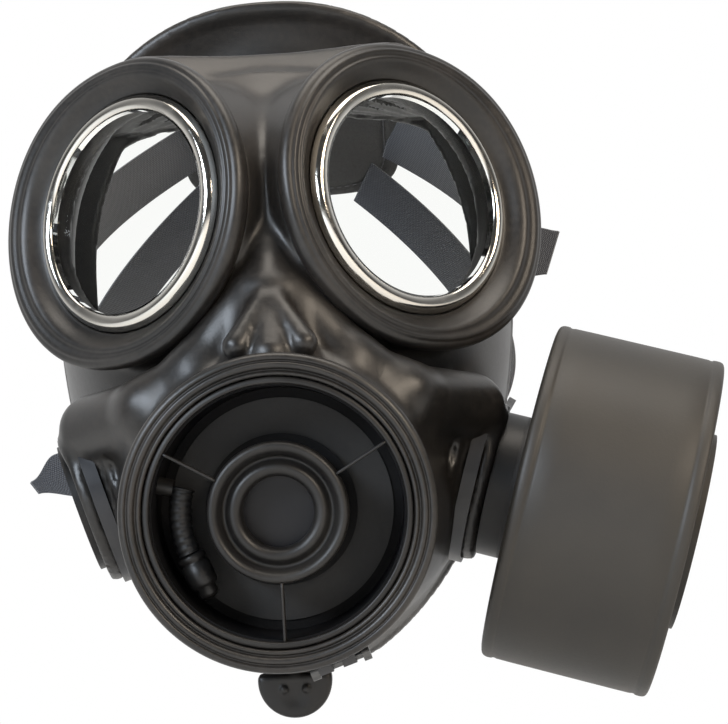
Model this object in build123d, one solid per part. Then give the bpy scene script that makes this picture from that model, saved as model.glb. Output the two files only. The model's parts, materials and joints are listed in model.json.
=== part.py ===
"""Full-face respirator with two round eyepieces, a front speech and outlet unit and a screw-on filter canister.

The frame is millimetres, +Z up, with the front of the mask towards -Y. The wearer's left is +X, the side of
the canister. The origin is in the middle of the face opening, level with the lower edge of the eyepieces.
"""

from build123d import *
from math import cos, radians, sin
import os

# Rubber facepiece: half width and front of each level of its bowl, from the chin to the forehead.
WALL = 3.0
REAR = 25.0
BOWL_MID_HEIGHT = 28.0
BOWL_LEVELS = [
    # height, half width, front
    (-82, 30, -42),
    (-62, 49, -58),
    (-30, 62, -68),
    (5, 71, -70),
    (45, 79, -72),
    (80, 77, -69),
    (112, 62, -52),
    (134, 40, -34),
]
RIM_TOP = (-20, 134)
RIM_MIDDLE = (18, 20)
RIM_CHIN = (-8, -82)
RIM_RUN_ON = 30.0
MUZZLE_REAR_Y = -14.0
MUZZLE_REAR_HEIGHT = -26.0
MUZZLE_HALF_WIDTH = 57.0
MUZZLE_HALF_HEIGHT = 55.0
MUZZLE_WALL = 4.0
NOSE_TOP = (0, -60, 66)
NOSE_FOOT = (0, -84, 2)
NOSE_RADIUS_TOP = 9.0
NOSE_RADIUS_FOOT = 15.0
NOSE_BUMP_RADIUS = 11.0
NOSE_BUMP_AT = (0, -89, 7)
CHEEK_HALF_WIDTH = BOWL_LEVELS[4][1]
SEAL_WIDTH = 15.0
SEAL_THICK = 2.5
TAB_TRIM = 0.985

# Eyepieces: one each side, turned outwards.
EYE_X = 43.8
EYE_Y = -71.2
EYE_Z = 48.3
EYE_YAW = 37.3
EYE_PITCH = -1.5
LENS_RADIUS = 37.0
LENS_FLANGE_WIDTH = 5.4
LENS_FLANGE = 2.4
LENS_FACE_RADIUS = LENS_RADIUS - LENS_FLANGE_WIDTH
LENS_FACE_STEP = 3.0
LENS_SEAT_DEPTH = 4.6
LENS_SEAT_WIDTH = 3.5
LENS_RING_EDGE = 1.0
LENS_RING_LIP = 0.8
LENS_RING_HEIGHT = 3.4
EYE_RIM_BEAD = 3.6
EYE_RIM_CREST = LENS_RADIUS + EYE_RIM_BEAD + 2.0
EYE_RIM_RADIUS = EYE_RIM_CREST + 4.9
EYE_BORE_RADIUS = LENS_RADIUS - LENS_SEAT_WIDTH
EYE_RIM_DEPTH = 26.0

# Front unit: a cup with an annular outlet valve round a central speech tube.
FRONT_Y = -100.0
FRONT_Z = -52.0
FRONT_PITCH = -12.0
FRONT_BORE_DEPTH = 60.0
FRONT_RING_STRAIGHT = 14.0
FRONT_RING_WALL = 5.0
HOUSING_RADIUS = 38.0
FRONT_RING_RADIUS = HOUSING_RADIUS + FRONT_RING_WALL
HOUSING_WALL = 2.5
HOUSING_BORE = HOUSING_RADIUS - HOUSING_WALL
HOUSING_FRONT = -3.2
HOUSING_PLATE_FRONT = -30.0
HOUSING_PLATE_THICK = 4.0
HOUSING_PLATE_REAR = HOUSING_PLATE_FRONT - HOUSING_PLATE_THICK
COLLAR_RADIUS = HOUSING_RADIUS - 5.0
COLLAR_WALL = 3.0
COLLAR_LENGTH = 7.0
HUB_BORE = 17.0
HUB_WALL = 2.5
HUB_STEP = 3.0
HUB_RADIUS = HUB_BORE + HUB_WALL
HUB_FRONT = -8.0
OUTLET_DISC_OUTER = HOUSING_BORE - 2.9
OUTLET_DISC_SLACK = 0.6
OUTLET_DISC_THICK = 0.8
OUTLET_DISC_LAP = 2.4
OUTLET_PORT_COUNT = 8
OUTLET_PORT_RADIUS = 3.6
OUTLET_PORT_CIRCLE = OUTLET_DISC_OUTER - OUTLET_DISC_LAP - OUTLET_PORT_RADIUS
OUTLET_TRAVEL = 2.5
OUTLET_STOP_SLACK = 0.4
OUTLET_STOP_THICK = 1.6
OUTLET_STOP_WIDTH = 2.6
COVER_RIM_THICK = 2.6
COVER_RIM_CLEARANCE = 0.05
COVER_RIM_WIDTH = 2.05
COVER_FACE = -2.0
SPOKE_COUNT = 3
SPOKE_ANGLE = 30.0
SPOKE_THICK = 0.9
SPOKE_DEPTH = 5.0
SPOKE_BELOW_RIM = 0.3
COVER_HUB_RADIUS = HUB_RADIUS + 0.5
COVER_HUB_BORE = 10.0
COVER_OUTER_BEAD = 1.5
COVER_INNER_BEAD = 1.7
DIAPHRAGM_FRONT = -14.0
DIAPHRAGM_THICK = 0.4
DIAPHRAGM_GASKET = 1.5
DIAPHRAGM_GASKET_WIDTH = 2.3
DIAPHRAGM_RING_HEIGHT = 3.0
DIAPHRAGM_RING_WIDTH = 4.3
BAND_WIDTH = 7.0
BAND_THICK = 1.2
BAND_GROOVE = 0.8
BAND_SETBACK = 3.0
LUG_ANGLE = -72.0
LUG_HEIGHT = 4.4
LUG_LENGTH = 11.0
LUG_SLOT = 3.0
CLAMP_SCREW_RADIUS = 1.2
CLAMP_SCREW_CLEARANCE = 0.05
CLAMP_SCREW_LENGTH = 15.0
CLAMP_HEAD_RADIUS = 2.3
CLAMP_HEAD_HEIGHT = 2.2
CLAMP_NUT_RADIUS = 2.4
CLAMP_NUT_HEIGHT = 2.4

# Cheek ports: the left one takes the canister, the right one a second speech unit.
PORT_X = 73.1
PORT_Y = -28.9
PORT_Z = -36.9
PORT_YAW = 86.7
PORT_PITCH = -18.0
PORT_BORE_EXTRA = 12.0
THREAD_RADIUS = 19.85
THREAD_PITCH = 3.63
THREAD_DEPTH = 0.9
THREAD_CLEARANCE = 0.08
NECK_LENGTH = 11.0
INLET_GASKET_THICK = 1.9
INLET_GASKET_SLACK = 0.3
CONNECTOR_BORE = THREAD_RADIUS + THREAD_CLEARANCE
CONNECTOR_RADIUS = CONNECTOR_BORE + 2.87
CONNECTOR_TAIL_RADIUS = THREAD_RADIUS + 0.75
CONNECTOR_FRONT = -2.2
CONNECTOR_FLOOR = -NECK_LENGTH - INLET_GASKET_SLACK - INLET_GASKET_THICK
CONNECTOR_SEAT = CONNECTOR_FLOOR - 2.8
CONNECTOR_TAIL = CONNECTOR_SEAT - 8.0
CONNECTOR_STEM = 5.0
CONNECTOR_STEM_RADIUS = 1.4
CONNECTOR_HEAD_RADIUS = 2.4
CONNECTOR_MIDDLE_RADIUS = 2.6
CONNECTOR_ARM = 1.6
CONNECTOR_ARM_WIDTH = 2.0
SEAT_BORE = CONNECTOR_TAIL_RADIUS - 6.1
INLET_DISC_RADIUS = SEAT_BORE + 1.9
INLET_DISC_SLACK = 1.6
INLET_DISC_THICK = 0.8
INLET_TRAVEL = 2.0
BOSS_TIP_RADIUS = CONNECTOR_RADIUS + 2.2
BOSS_BASE_RADIUS = BOSS_TIP_RADIUS + 4.0
BOSS_BASE = -42.0
BOSS_TIP = -9.0
CLAMP_GROOVE_REAR = BOSS_TIP - 8.0
CLAMP_GROOVE_WIDTH = 4.4
CLAMP_GROOVE_RADIUS = BOSS_TIP_RADIUS + 0.4
CLAMP_CLEARANCE = 0.05
CLAMP_THICK = 1.45
SPEECH_SEAT_DEPTH = 2.6
SPEECH_SEAT_WALL = 2.2
SPEECH_SEAT_CLEARANCE = 0.1
SPEECH_FILM_THICK = 0.4
SPEECH_RING_WIDTH = 2.7
SPEECH_HOUSING_WALL = 4.6
SPEECH_CAP_RADIUS = CONNECTOR_TAIL_RADIUS - 0.1
SPEECH_CAP_FRONT = -7.0
SPEECH_CAP_THICK = 3.0
SPEECH_CAP_FACE = 1.4
SPEECH_CAP_WALL = 4.5
SPEECH_HOLE_COUNT = 8
SPEECH_HOLE_CIRCLE = 10.0
SPEECH_HOLE_RADIUS = 1.9
SPEECH_MIDDLE_HOLE = 2.4

# Canister, on a round thread 40 mm across.
NECK_WALL = 3.95
NECK_BORE = THREAD_RADIUS - THREAD_DEPTH - NECK_WALL
NECK_FLANGE = 5.0
NECK_FLANGE_THICK = 1.2
NECK_COLLAR = 0.6
THREAD_START = 1.4
THREAD_ROOT_HALF = 1.3
THREAD_CREST_HALF = 0.5
WASHER_SLACK = 0.12
FACE_GAP = 0.02
CANISTER_RADIUS = 53.5
CANISTER_LENGTH = 52.5
CANISTER_SHEET = 1.0
CANISTER_CAP_RADIUS = CANISTER_RADIUS - 22.5
CANISTER_CAP_STEP = 3.0
CANISTER_CAP_SEAT = 2.0
CANISTER_CAP_FACE = 1.2
CANISTER_CAP_WALL = 2.0
CANISTER_HOLE_CIRCLE = CANISTER_CAP_RADIUS - 12.0
CANISTER_HOLE_RADIUS = 2.6
CANISTER_HOLE_COUNT = 12
CANISTER_INNER_HOLES = 6
SCREEN_THICK = 1.0
SPACER_HEIGHT = 4.4
SPACER_WIDTH = 3.0
FILTER_DEPTH = 12.0
FILTER_GAP = 0.6
FILTER_SLACK = 1.0
PLEAT_COUNT = 12
PAPER_THICK = 1.6
RETAINER_WIDTH = 4.0
RETAINER_HEIGHT = 3.5
RETAINER_SKIRT = 0.9
FILTER_TOP = CANISTER_LENGTH - CANISTER_CAP_SEAT - RETAINER_HEIGHT
FILTER_LOW = FILTER_TOP - FILTER_DEPTH
CARBON_HIGH = FILTER_LOW - FILTER_GAP - SCREEN_THICK
CARBON_LOW = CANISTER_SHEET + SPACER_HEIGHT + SCREEN_THICK

# Inner half mask over the nose and mouth.
NOSE_CUP_WALL = 2.0
NOSE_CUP_NECK = 4.0
NOSE_CUP_FLARE = 0.8
NOSE_CUP_FACE_Y = -24.0
NOSE_CUP_FACE_Z = -14.0
NOSE_CUP_HALF_WIDTH = 35.0
NOSE_CUP_HALF_HEIGHT = 41.0
NOSE_VALVE_AT = (28.5, -43, -6)
NOSE_VALVE_YAW = 62
NOSE_VALVE_PITCH = 24
NOSE_VALVE_RADIUS = 8.5
NOSE_VALVE_TRAVEL = 1.5
NOSE_SEAT_OUTER = NOSE_VALVE_RADIUS + 2.4
NOSE_SEAT_BORE = NOSE_VALVE_RADIUS - 1.6
NOSE_SEAT_CLEARANCE = 0.2
NOSE_SEAT_HALF = 1.4
NOSE_SEAT_MIDDLE = 1.8
NOSE_STEM_RADIUS = 0.9
NOSE_STEM_END = -4.4
NOSE_HEAD_RADIUS = 1.7
NOSE_HEAD_THICK = 0.8
NOSE_ARM_WIDTH = 1.4
NOSE_ARM_THICK = 1.8
NOSE_ARM_MIDDLE = -0.5
NOSE_DISC_THICK = 0.68
NOSE_DISC_BORE = 1.0

# Drinking fittings.
SPINDLE_BEHIND_FRONT = 48.0
SPINDLE_RADIUS = 3.0
SPINDLE_TOP = 17.0
SPINDLE_PASSAGE = 1.0
SPINDLE_BOSS_RADIUS = SPINDLE_RADIUS + 4.5
SPINDLE_BOSS_ROOT = FRONT_RING_RADIUS - 9.0
SPINDLE_BOSS_END = FRONT_RING_RADIUS + 7.0
SPINDLE_SHOULDER = 1.5
LEVER_GAP = 0.4
LEVER_HALF_WIDTH = 9.6
LEVER_HEIGHT = 13.0
LEVER_THICK = 6.5
MOUTHPIECE_WALL = 0.9
MOUTHPIECE_HEIGHT = 7.0
SPOUT_DROP = 4.2
SPOUT_RADIUS = 2.6
SPOUT_BORE = 1.4
SPOUT_START = 1.0
SPOUT_END = 17.0
SPOUT_BORE_START = 5.0
DRINK_TUBE_RADIUS = 3.2
DRINK_TUBE_BEAD = 0.4
DRINK_TUBE_FROM_WALL = 7.1
DRINK_TUBE_CIRCLE = HOUSING_BORE - DRINK_TUBE_FROM_WALL
DRINK_TUBE_HEIGHT = -13.5
DRINK_TUBE_START = 165.0
DRINK_TUBE_SWEEP = 38.0
ELBOW_RADIUS = 2.5
ELBOW_CLEARANCE = 0.05
ELBOW_SHORT = 0.2
PLUG_RADIUS = 4.2
PLUG_LENGTH = 10.0
PLUG_NOSE = 0.72
PLUG_NOSE_OUT = 0.6

# Head harness: each strap's root on the facepiece, the way it leaves, and its end in the crown pad.
STRAP_WIDTH = 19.0
STRAP_THICK = 1.6
STRAP_ROWS = {
    "brow": ((29, -12, 121), (0.02, 0.84, 0.54), (24, 123, 160)),
    "temple": ((78.5, 12, 50), (0.10, 0.82, 0.50), (41, 138, 147)),
    "cheek": ((63, 13, -18), (0.30, 0.80, 0.52), (29, 152, 132)),
}
TAIL_RISE = {"brow": 6.0, "temple": 38.0, "cheek": 50.0}
TAIL_LENGTH = {"brow": 20.0, "temple": 19.0, "cheek": 26.0}
TAB_WIDTH = STRAP_WIDTH - 1.0
TAB_THICK = 4.6
TAB_REACH = 9.0
TAB_ROOT = 9.0
PIVOT_RADIUS = 1.3
PIVOT_CLEARANCE = 0.05
BUCKLE_RAIL = 3.2
BUCKLE_SIDE_PLAY = 0.8
BUCKLE_WIDTH = STRAP_WIDTH + 2 * (BUCKLE_RAIL + BUCKLE_SIDE_PLAY)
BUCKLE_NOSE = 0.3
BUCKLE_BAR_RADIUS = 1.2
BUCKLE_MIDDLE_BAR = 9.0
BUCKLE_REAR_BAR = 17.0
STRAP_CLEARANCE = 0.4
STRAP_LIFT = BUCKLE_BAR_RADIUS + STRAP_THICK / 2 + STRAP_CLEARANCE
STRAP_STRAIGHT = 4.0
PAD_AT = (0, 136, 146)
PAD_LEAN = 50.0
PAD_HALF_WIDTH = 45.0
PAD_HALF_HEIGHT = 28.0
PAD_CORNER = 20.0
PAD_THICK = 3.0

GAP = 0.1
THROUGH = 200.0


def outward(yaw, pitch):
    """The unit vector that looks forward, turned sideways by yaw and up by pitch, in degrees."""
    return Vector(
        sin(radians(yaw)) * cos(radians(pitch)),
        -cos(radians(yaw)) * cos(radians(pitch)),
        sin(radians(pitch)),
    )


def facing(x, y, z, yaw, pitch):
    """A work plane whose z looks outward, with its x level and its y upwards."""
    normal = outward(yaw, pitch)
    return Plane(origin=(x, y, z), x_dir=Vector(0, 0, 1).cross(normal), z_dir=normal)


FRONT = facing(0, FRONT_Y, FRONT_Z, 0, FRONT_PITCH)
SIDES = {"left": 1, "right": -1}
EYES = {n: facing(s * EYE_X, EYE_Y, EYE_Z, s * EYE_YAW, EYE_PITCH) for n, s in SIDES.items()}
PORTS = {n: facing(s * PORT_X, PORT_Y, PORT_Z, s * PORT_YAW, PORT_PITCH) for n, s in SIDES.items()}


def disc(frame, radius, low, high):
    """A cylinder on the frame's axis, from low to high along it."""
    return frame * Pos(0, 0, (low + high) / 2) * Cylinder(radius, high - low)


def ring(frame, outer, inner, low, high):
    """A tube on the frame's axis, from low to high along it."""
    return disc(frame, outer, low, high) - disc(frame, inner, low - 1, high + 1)


def turned(frame, points):
    """The solid of revolution of a closed outline of (radius, height) points about the frame's axis."""
    outline = make_face(Polyline(*points, close=True))
    return frame * revolve(Plane.XZ * outline, Axis.Z)


def round_holes(frame, count, circle, radius, low, high, skip=()):
    """Holes evenly spaced on a circle, as one cutting shape."""
    cutters = []
    for index in range(count):
        if index not in skip:
            angle = radians(360 / count * (index + 0.5))
            place = frame * Pos(circle * cos(angle), circle * sin(angle), 0)
            cutters.append(place * Pos(0, 0, (low + high) / 2) * Cylinder(radius, high - low))
    return cutters


def write(name, *solids):
    """Writes one node's STEP file from its separate solids."""
    flat = [solid for shape in solids for solid in shape.solids()]
    shape = flat[0] if len(flat) == 1 else Compound(children=flat)
    export_step(shape, f"parts/{name}.step")


# ---------------------------------------------------------------- facepiece


def bowl():
    """The closed outer form of the facepiece, half an ellipse at each height."""
    levels = []
    for height, half_width, front in BOWL_LEVELS:
        arc = EllipticalCenterArc((0, REAR), half_width, REAR - front, start_angle=180, arc_size=180)
        outline = make_face([arc, Line(arc @ 1, arc @ 0)])
        levels.append(Plane.XY.offset(height) * outline)
    return loft(levels)


def shrunk(shape, factor):
    """The shape scaled about the middle of the bowl's open side."""
    centre = Pos(0, REAR, BOWL_MID_HEIGHT)
    return centre * scale(centre.inverse() * shape, by=factor)


def behind_rim(shift):
    """Everything behind the curved edge of the facepiece, moved back by shift."""
    points = [(y + shift, z) for y, z in (RIM_TOP, RIM_MIDDLE, RIM_CHIN)]
    edge = ThreePointArc(*points)
    # The edge runs on past both ends, so that nothing of the bowl is left above or below it.
    low = (points[2][0], RIM_CHIN[1] - RIM_RUN_ON)
    high = (points[0][0], RIM_TOP[1] + RIM_RUN_ON)
    outline = [
        Line(low, points[2]),
        edge,
        Line(points[0], high),
        Line(high, (THROUGH, high[1])),
        Line((THROUGH, high[1]), (THROUGH, low[1])),
        Line((THROUGH, low[1]), low),
    ]
    face = Plane.YZ * make_face(outline)
    return extrude(face, THROUGH, both=True)


def muzzle(margin):
    """The form that joins the round front ring to the cheeks, made smaller all over by margin."""
    start = FRONT.offset(-FRONT_RING_STRAIGHT) * Circle(FRONT_RING_RADIUS - margin)
    rear_plane = Plane(
        origin=(0, MUZZLE_REAR_Y, MUZZLE_REAR_HEIGHT), x_dir=(1, 0, 0), z_dir=(0, -1, 0)
    )
    end = rear_plane * Ellipse(MUZZLE_HALF_WIDTH - margin, MUZZLE_HALF_HEIGHT - margin)
    return loft([end, start])


def nose_ridge():
    """The ridge from the brow down between the eyepieces, with its raised arch at the foot."""
    top, foot = Vector(NOSE_TOP), Vector(NOSE_FOOT)
    along = foot - top
    frame = Plane(origin=tuple((top + foot) / 2), z_dir=tuple(along))
    cone = frame * Cone(NOSE_RADIUS_TOP, NOSE_RADIUS_FOOT, along.length)
    return cone + Pos(*NOSE_BUMP_AT) * Sphere(NOSE_BUMP_RADIUS)


STRAPS = [f"{row}_{side}" for row in STRAP_ROWS for side in SIDES]


def strap_line(name):
    """The root of a strap on the facepiece, the unit vector along it there, and its end in the pad."""
    row, side = name.split("_")
    root, along, end = [Vector(SIDES[side] * x, y, z) for x, y, z in STRAP_ROWS[row]]
    return root, along.normalized(), end


def buckle_frame(name):
    """The work plane of a buckle: x along its pivot, y along the strap, z away from the head."""
    root, along, end = strap_line(name)
    pivot = root + along * TAB_REACH
    across = (end - pivot).cross(along).normalized()
    return Plane(origin=pivot, x_dir=across, z_dir=across.cross(along))


def tab(name):
    """A rubber tab on the facepiece's edge, with the bore that its buckle's bar turns in."""
    frame = buckle_frame(name)
    length = TAB_REACH + TAB_ROOT
    tongue = frame * Pos(0, -length / 2, 0) * Box(TAB_WIDTH, length, TAB_THICK)
    tip = frame * Rot(0, 90, 0) * Cylinder(TAB_THICK / 2, TAB_WIDTH)
    bore = frame * Rot(0, 90, 0) * Cylinder(PIVOT_RADIUS + PIVOT_CLEARANCE, TAB_WIDTH + 2)
    return tongue + tip, bore


def spindle_frame():
    """The work plane of the drinking spindle: z runs down out of the chin, square to the front unit's axis."""
    origin = FRONT.origin - FRONT.z_dir * SPINDLE_BEHIND_FRONT
    return Plane(origin=origin, x_dir=(1, 0, 0), z_dir=-FRONT.y_dir)


SPINDLE = spindle_frame()


def make_facepiece():
    outer = bowl() + muzzle(0) + disc(FRONT, FRONT_RING_RADIUS, -FRONT_RING_STRAIGHT - 1, 0)
    outer += nose_ridge()
    for frame in EYES.values():
        outer += disc(frame, EYE_RIM_RADIUS, -EYE_RIM_DEPTH, 0)
    for frame in PORTS.values():
        middle, length = (BOSS_BASE + BOSS_TIP) / 2, BOSS_TIP - BOSS_BASE
        outer += frame * Pos(0, 0, middle) * Cone(BOSS_BASE_RADIUS, BOSS_TIP_RADIUS, length)
    outer += disc(SPINDLE, SPINDLE_BOSS_RADIUS, SPINDLE_BOSS_ROOT, SPINDLE_BOSS_END)
    inner = shrunk(bowl(), 1 - WALL / CHEEK_HALF_WIDTH)
    cavity = inner + muzzle(MUZZLE_WALL)
    shell = outer - cavity - behind_rim(0)
    seal = (inner & behind_rim(-SEAL_THICK)) - behind_rim(0)
    seal -= shrunk(bowl(), 1 - (WALL + SEAL_WIDTH) / CHEEK_HALF_WIDTH)
    bores = []
    for frame in EYES.values():
        bores.append(disc(frame, EYE_BORE_RADIUS, -EYE_RIM_DEPTH - 2 * WALL, 1))
        bores.append(disc(frame, LENS_RADIUS + GAP, -LENS_SEAT_DEPTH, 1))
    bores.append(disc(FRONT, HOUSING_RADIUS + GAP, -FRONT_BORE_DEPTH, 1))
    for frame in PORTS.values():
        bores.append(disc(frame, CONNECTOR_TAIL_RADIUS + GAP, BOSS_BASE - PORT_BORE_EXTRA, 0))
        groove_front = CLAMP_GROOVE_REAR + CLAMP_GROOVE_WIDTH
        shell -= ring(frame, 2 * BOSS_BASE_RADIUS, CLAMP_GROOVE_RADIUS, CLAMP_GROOVE_REAR, groove_front)
    bores.append(disc(SPINDLE, SPINDLE_RADIUS + GAP / 2, SPINDLE_BOSS_ROOT - 14, SPINDLE_BOSS_END + 1))
    for bore in bores:
        shell -= bore
    for frame in EYES.values():
        shell += ring(frame, EYE_RIM_RADIUS, EYE_RIM_CREST - EYE_RIM_BEAD, -1, 2 * GAP)
        bead = frame * Torus(EYE_RIM_CREST, EYE_RIM_BEAD)
        shell += bead - disc(frame, EYE_RIM_RADIUS, -EYE_RIM_BEAD - 1, -0.5)
    band_rear = BAND_SETBACK - FRONT_RING_STRAIGHT
    band_seat = FRONT_RING_RADIUS - BAND_GROOVE
    shell -= ring(FRONT, 2 * FRONT_RING_RADIUS, band_seat, band_rear, band_rear + BAND_WIDTH)
    for name in STRAPS:
        tongue, bore = tab(name)
        shell = shell + (tongue - shrunk(bowl(), TAB_TRIM)) - bore
    write("facepiece", largest(shell))
    write("face_seal", largest(seal))


def largest(shape):
    """The biggest solid of a cut shape, without any slivers that the cuts leave."""
    return max(shape.solids(), key=lambda solid: solid.volume)


# ---------------------------------------------------------------- eyepieces


def make_eyepieces():
    base = -LENS_SEAT_DEPTH
    top = base + LENS_FLANGE
    for name, frame in EYES.items():
        lens = disc(frame, LENS_RADIUS, base, top)
        lens += disc(frame, LENS_FACE_RADIUS, top, top + LENS_FACE_STEP)
        write(f"{name}_lens", lens)
        inner = LENS_FACE_RADIUS + GAP
        profile = [
            (inner, top),
            (LENS_RADIUS, top),
            (LENS_RADIUS, top + LENS_RING_EDGE),
            (inner + LENS_RING_LIP, top + LENS_RING_HEIGHT),
            (inner, top + LENS_RING_HEIGHT),
        ]
        write(f"{name}_lens_ring", turned(frame, profile))


# ---------------------------------------------------------------- front unit


def elbow_place(radius):
    """The frame of the drinking elbow: z runs out of the cup's wall, at this distance from the cup's axis."""
    return FRONT * Rot(0, 0, DRINK_TUBE_START) * Pos(radius, 0, DRINK_TUBE_HEIGHT) * Rot(0, 90, 0)


def make_housing():
    housing = disc(FRONT, HOUSING_RADIUS, HOUSING_PLATE_REAR, HOUSING_FRONT)
    housing -= disc(FRONT, HOUSING_BORE, HOUSING_PLATE_FRONT, 0)
    collar_rear = HOUSING_PLATE_REAR - COLLAR_LENGTH
    housing += ring(FRONT, COLLAR_RADIUS, COLLAR_RADIUS - COLLAR_WALL, collar_rear, HOUSING_PLATE_REAR)
    housing += disc(FRONT, HUB_RADIUS, HOUSING_PLATE_REAR, HUB_FRONT)
    housing -= disc(FRONT, HUB_BORE, DIAPHRAGM_FRONT - DIAPHRAGM_THICK - DIAPHRAGM_GASKET, 0)
    housing -= disc(FRONT, HUB_BORE - HUB_STEP, HOUSING_PLATE_REAR - 1, 0)
    low, high = HOUSING_PLATE_REAR - 1, HOUSING_PLATE_FRONT + 1
    for hole in round_holes(
        FRONT, OUTLET_PORT_COUNT, OUTLET_PORT_CIRCLE, OUTLET_PORT_RADIUS, low, high
    ):
        housing -= hole
    wall_middle = HOUSING_RADIUS - HOUSING_WALL / 2
    housing -= elbow_place(wall_middle) * Cylinder(ELBOW_RADIUS + ELBOW_CLEARANCE, 3 * HOUSING_WALL)
    write("outlet_housing", largest(housing))


def make_cover():
    """The guard over the cup: a rim, a hub with two round beads, and three thin blades between them."""
    front_rim = HOUSING_FRONT + COVER_RIM_THICK
    rim_outer = HOUSING_RADIUS - COVER_RIM_CLEARANCE
    cover = ring(FRONT, rim_outer, rim_outer - COVER_RIM_WIDTH, HOUSING_FRONT, front_rim)
    cover += ring(FRONT, COVER_HUB_RADIUS, COVER_HUB_BORE, HUB_FRONT, COVER_FACE)
    face = FRONT * Pos(0, 0, COVER_FACE)
    cover += face * Torus(COVER_HUB_RADIUS - COVER_OUTER_BEAD, COVER_OUTER_BEAD)
    cover += face * Torus(COVER_HUB_BORE + COVER_INNER_BEAD, COVER_INNER_BEAD)
    start, end = COVER_HUB_RADIUS - WALL / 6, HOUSING_BORE + 0.9
    height = front_rim - SPOKE_BELOW_RIM - SPOKE_DEPTH / 2
    for index in range(SPOKE_COUNT):
        place = FRONT * Rot(0, 0, SPOKE_ANGLE + index * 360 / SPOKE_COUNT)
        spoke = place * Pos((start + end) / 2, 0, height) * Box(end - start, SPOKE_THICK, SPOKE_DEPTH)
        cover += spoke - ring(FRONT, 2 * HOUSING_RADIUS, HOUSING_BORE - GAP, -SPOKE_DEPTH * 4, HOUSING_FRONT)
    write("outlet_cover", cover)


def make_outlet_valve():
    disc_front = HOUSING_PLATE_FRONT + OUTLET_DISC_THICK
    bore = HUB_RADIUS + OUTLET_DISC_SLACK
    write("outlet_valve_disc", ring(FRONT, OUTLET_DISC_OUTER, bore, HOUSING_PLATE_FRONT + FACE_GAP, disc_front))
    stop = disc_front + OUTLET_TRAVEL + OUTLET_STOP_SLACK
    stop_outer = HUB_RADIUS + OUTLET_STOP_WIDTH
    write("outlet_valve_stop", ring(FRONT, stop_outer, HUB_RADIUS, stop, stop + OUTLET_STOP_THICK))


def make_speech_unit():
    outer = HUB_BORE - GAP
    gasket_front = DIAPHRAGM_FRONT - DIAPHRAGM_THICK
    gasket_rear = gasket_front - DIAPHRAGM_GASKET
    write("speech_gasket", ring(FRONT, outer, outer - DIAPHRAGM_GASKET_WIDTH, gasket_rear, gasket_front))
    write("speech_diaphragm", disc(FRONT, outer, gasket_front, DIAPHRAGM_FRONT))
    ring_front = DIAPHRAGM_FRONT + DIAPHRAGM_RING_HEIGHT
    write("speech_ring", ring(FRONT, outer, outer - DIAPHRAGM_RING_WIDTH, DIAPHRAGM_FRONT, ring_front))


def make_front_clamp():
    """The band round the front ring, open at a lug with a slot, and the screw and nut that close it."""
    rear = BAND_SETBACK - FRONT_RING_STRAIGHT
    inner = FRONT_RING_RADIUS - BAND_GROOVE
    band = ring(FRONT, inner + BAND_THICK, inner, rear, rear + BAND_WIDTH)
    middle = inner + BAND_THICK / 2 + LUG_HEIGHT / 2 - 0.2
    lug_place = FRONT * Rot(0, 0, LUG_ANGLE) * Pos(middle, 0, rear + BAND_WIDTH / 2)
    lug = lug_place * Box(LUG_HEIGHT, LUG_LENGTH, BAND_WIDTH)
    lug -= lug_place * Box(LUG_HEIGHT, LUG_SLOT, BAND_WIDTH + 1)
    screw_place = lug_place * Pos(LUG_HEIGHT / 2 - 1.4, 0, 0) * Rot(90, 0, 0)
    hole = CLAMP_SCREW_RADIUS + CLAMP_SCREW_CLEARANCE
    bore = screw_place * Cylinder(hole, 2 * CLAMP_SCREW_LENGTH)
    band = band + (lug - disc(FRONT, inner + BAND_THICK / 2, -FRONT_BORE_DEPTH, 10)) - bore
    write("front_clamp_band", largest(band))
    screw = screw_place * Cylinder(CLAMP_SCREW_RADIUS, CLAMP_SCREW_LENGTH)
    head_middle = LUG_LENGTH / 2 + 2 + CLAMP_HEAD_HEIGHT / 2
    screw += screw_place * Pos(0, 0, -head_middle) * Cylinder(CLAMP_HEAD_RADIUS, CLAMP_HEAD_HEIGHT)
    nut_middle = LUG_LENGTH / 2 + 0.1 + CLAMP_NUT_HEIGHT / 2
    nut = Cylinder(CLAMP_NUT_RADIUS, CLAMP_NUT_HEIGHT) - Cylinder(hole, 2 * CLAMP_NUT_HEIGHT)
    write("front_clamp_screw", screw, screw_place * Pos(0, 0, nut_middle) * nut)


# ---------------------------------------------------------------- cheek ports


def clamp_ring(frame):
    """A round band in the groove of a cheek boss."""
    inner = CLAMP_GROOVE_RADIUS + CLAMP_CLEARANCE
    low = CLAMP_GROOVE_REAR + GAP
    high = CLAMP_GROOVE_REAR + CLAMP_GROOVE_WIDTH - GAP
    return ring(frame, inner + CLAMP_THICK, inner, low, high)


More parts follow.
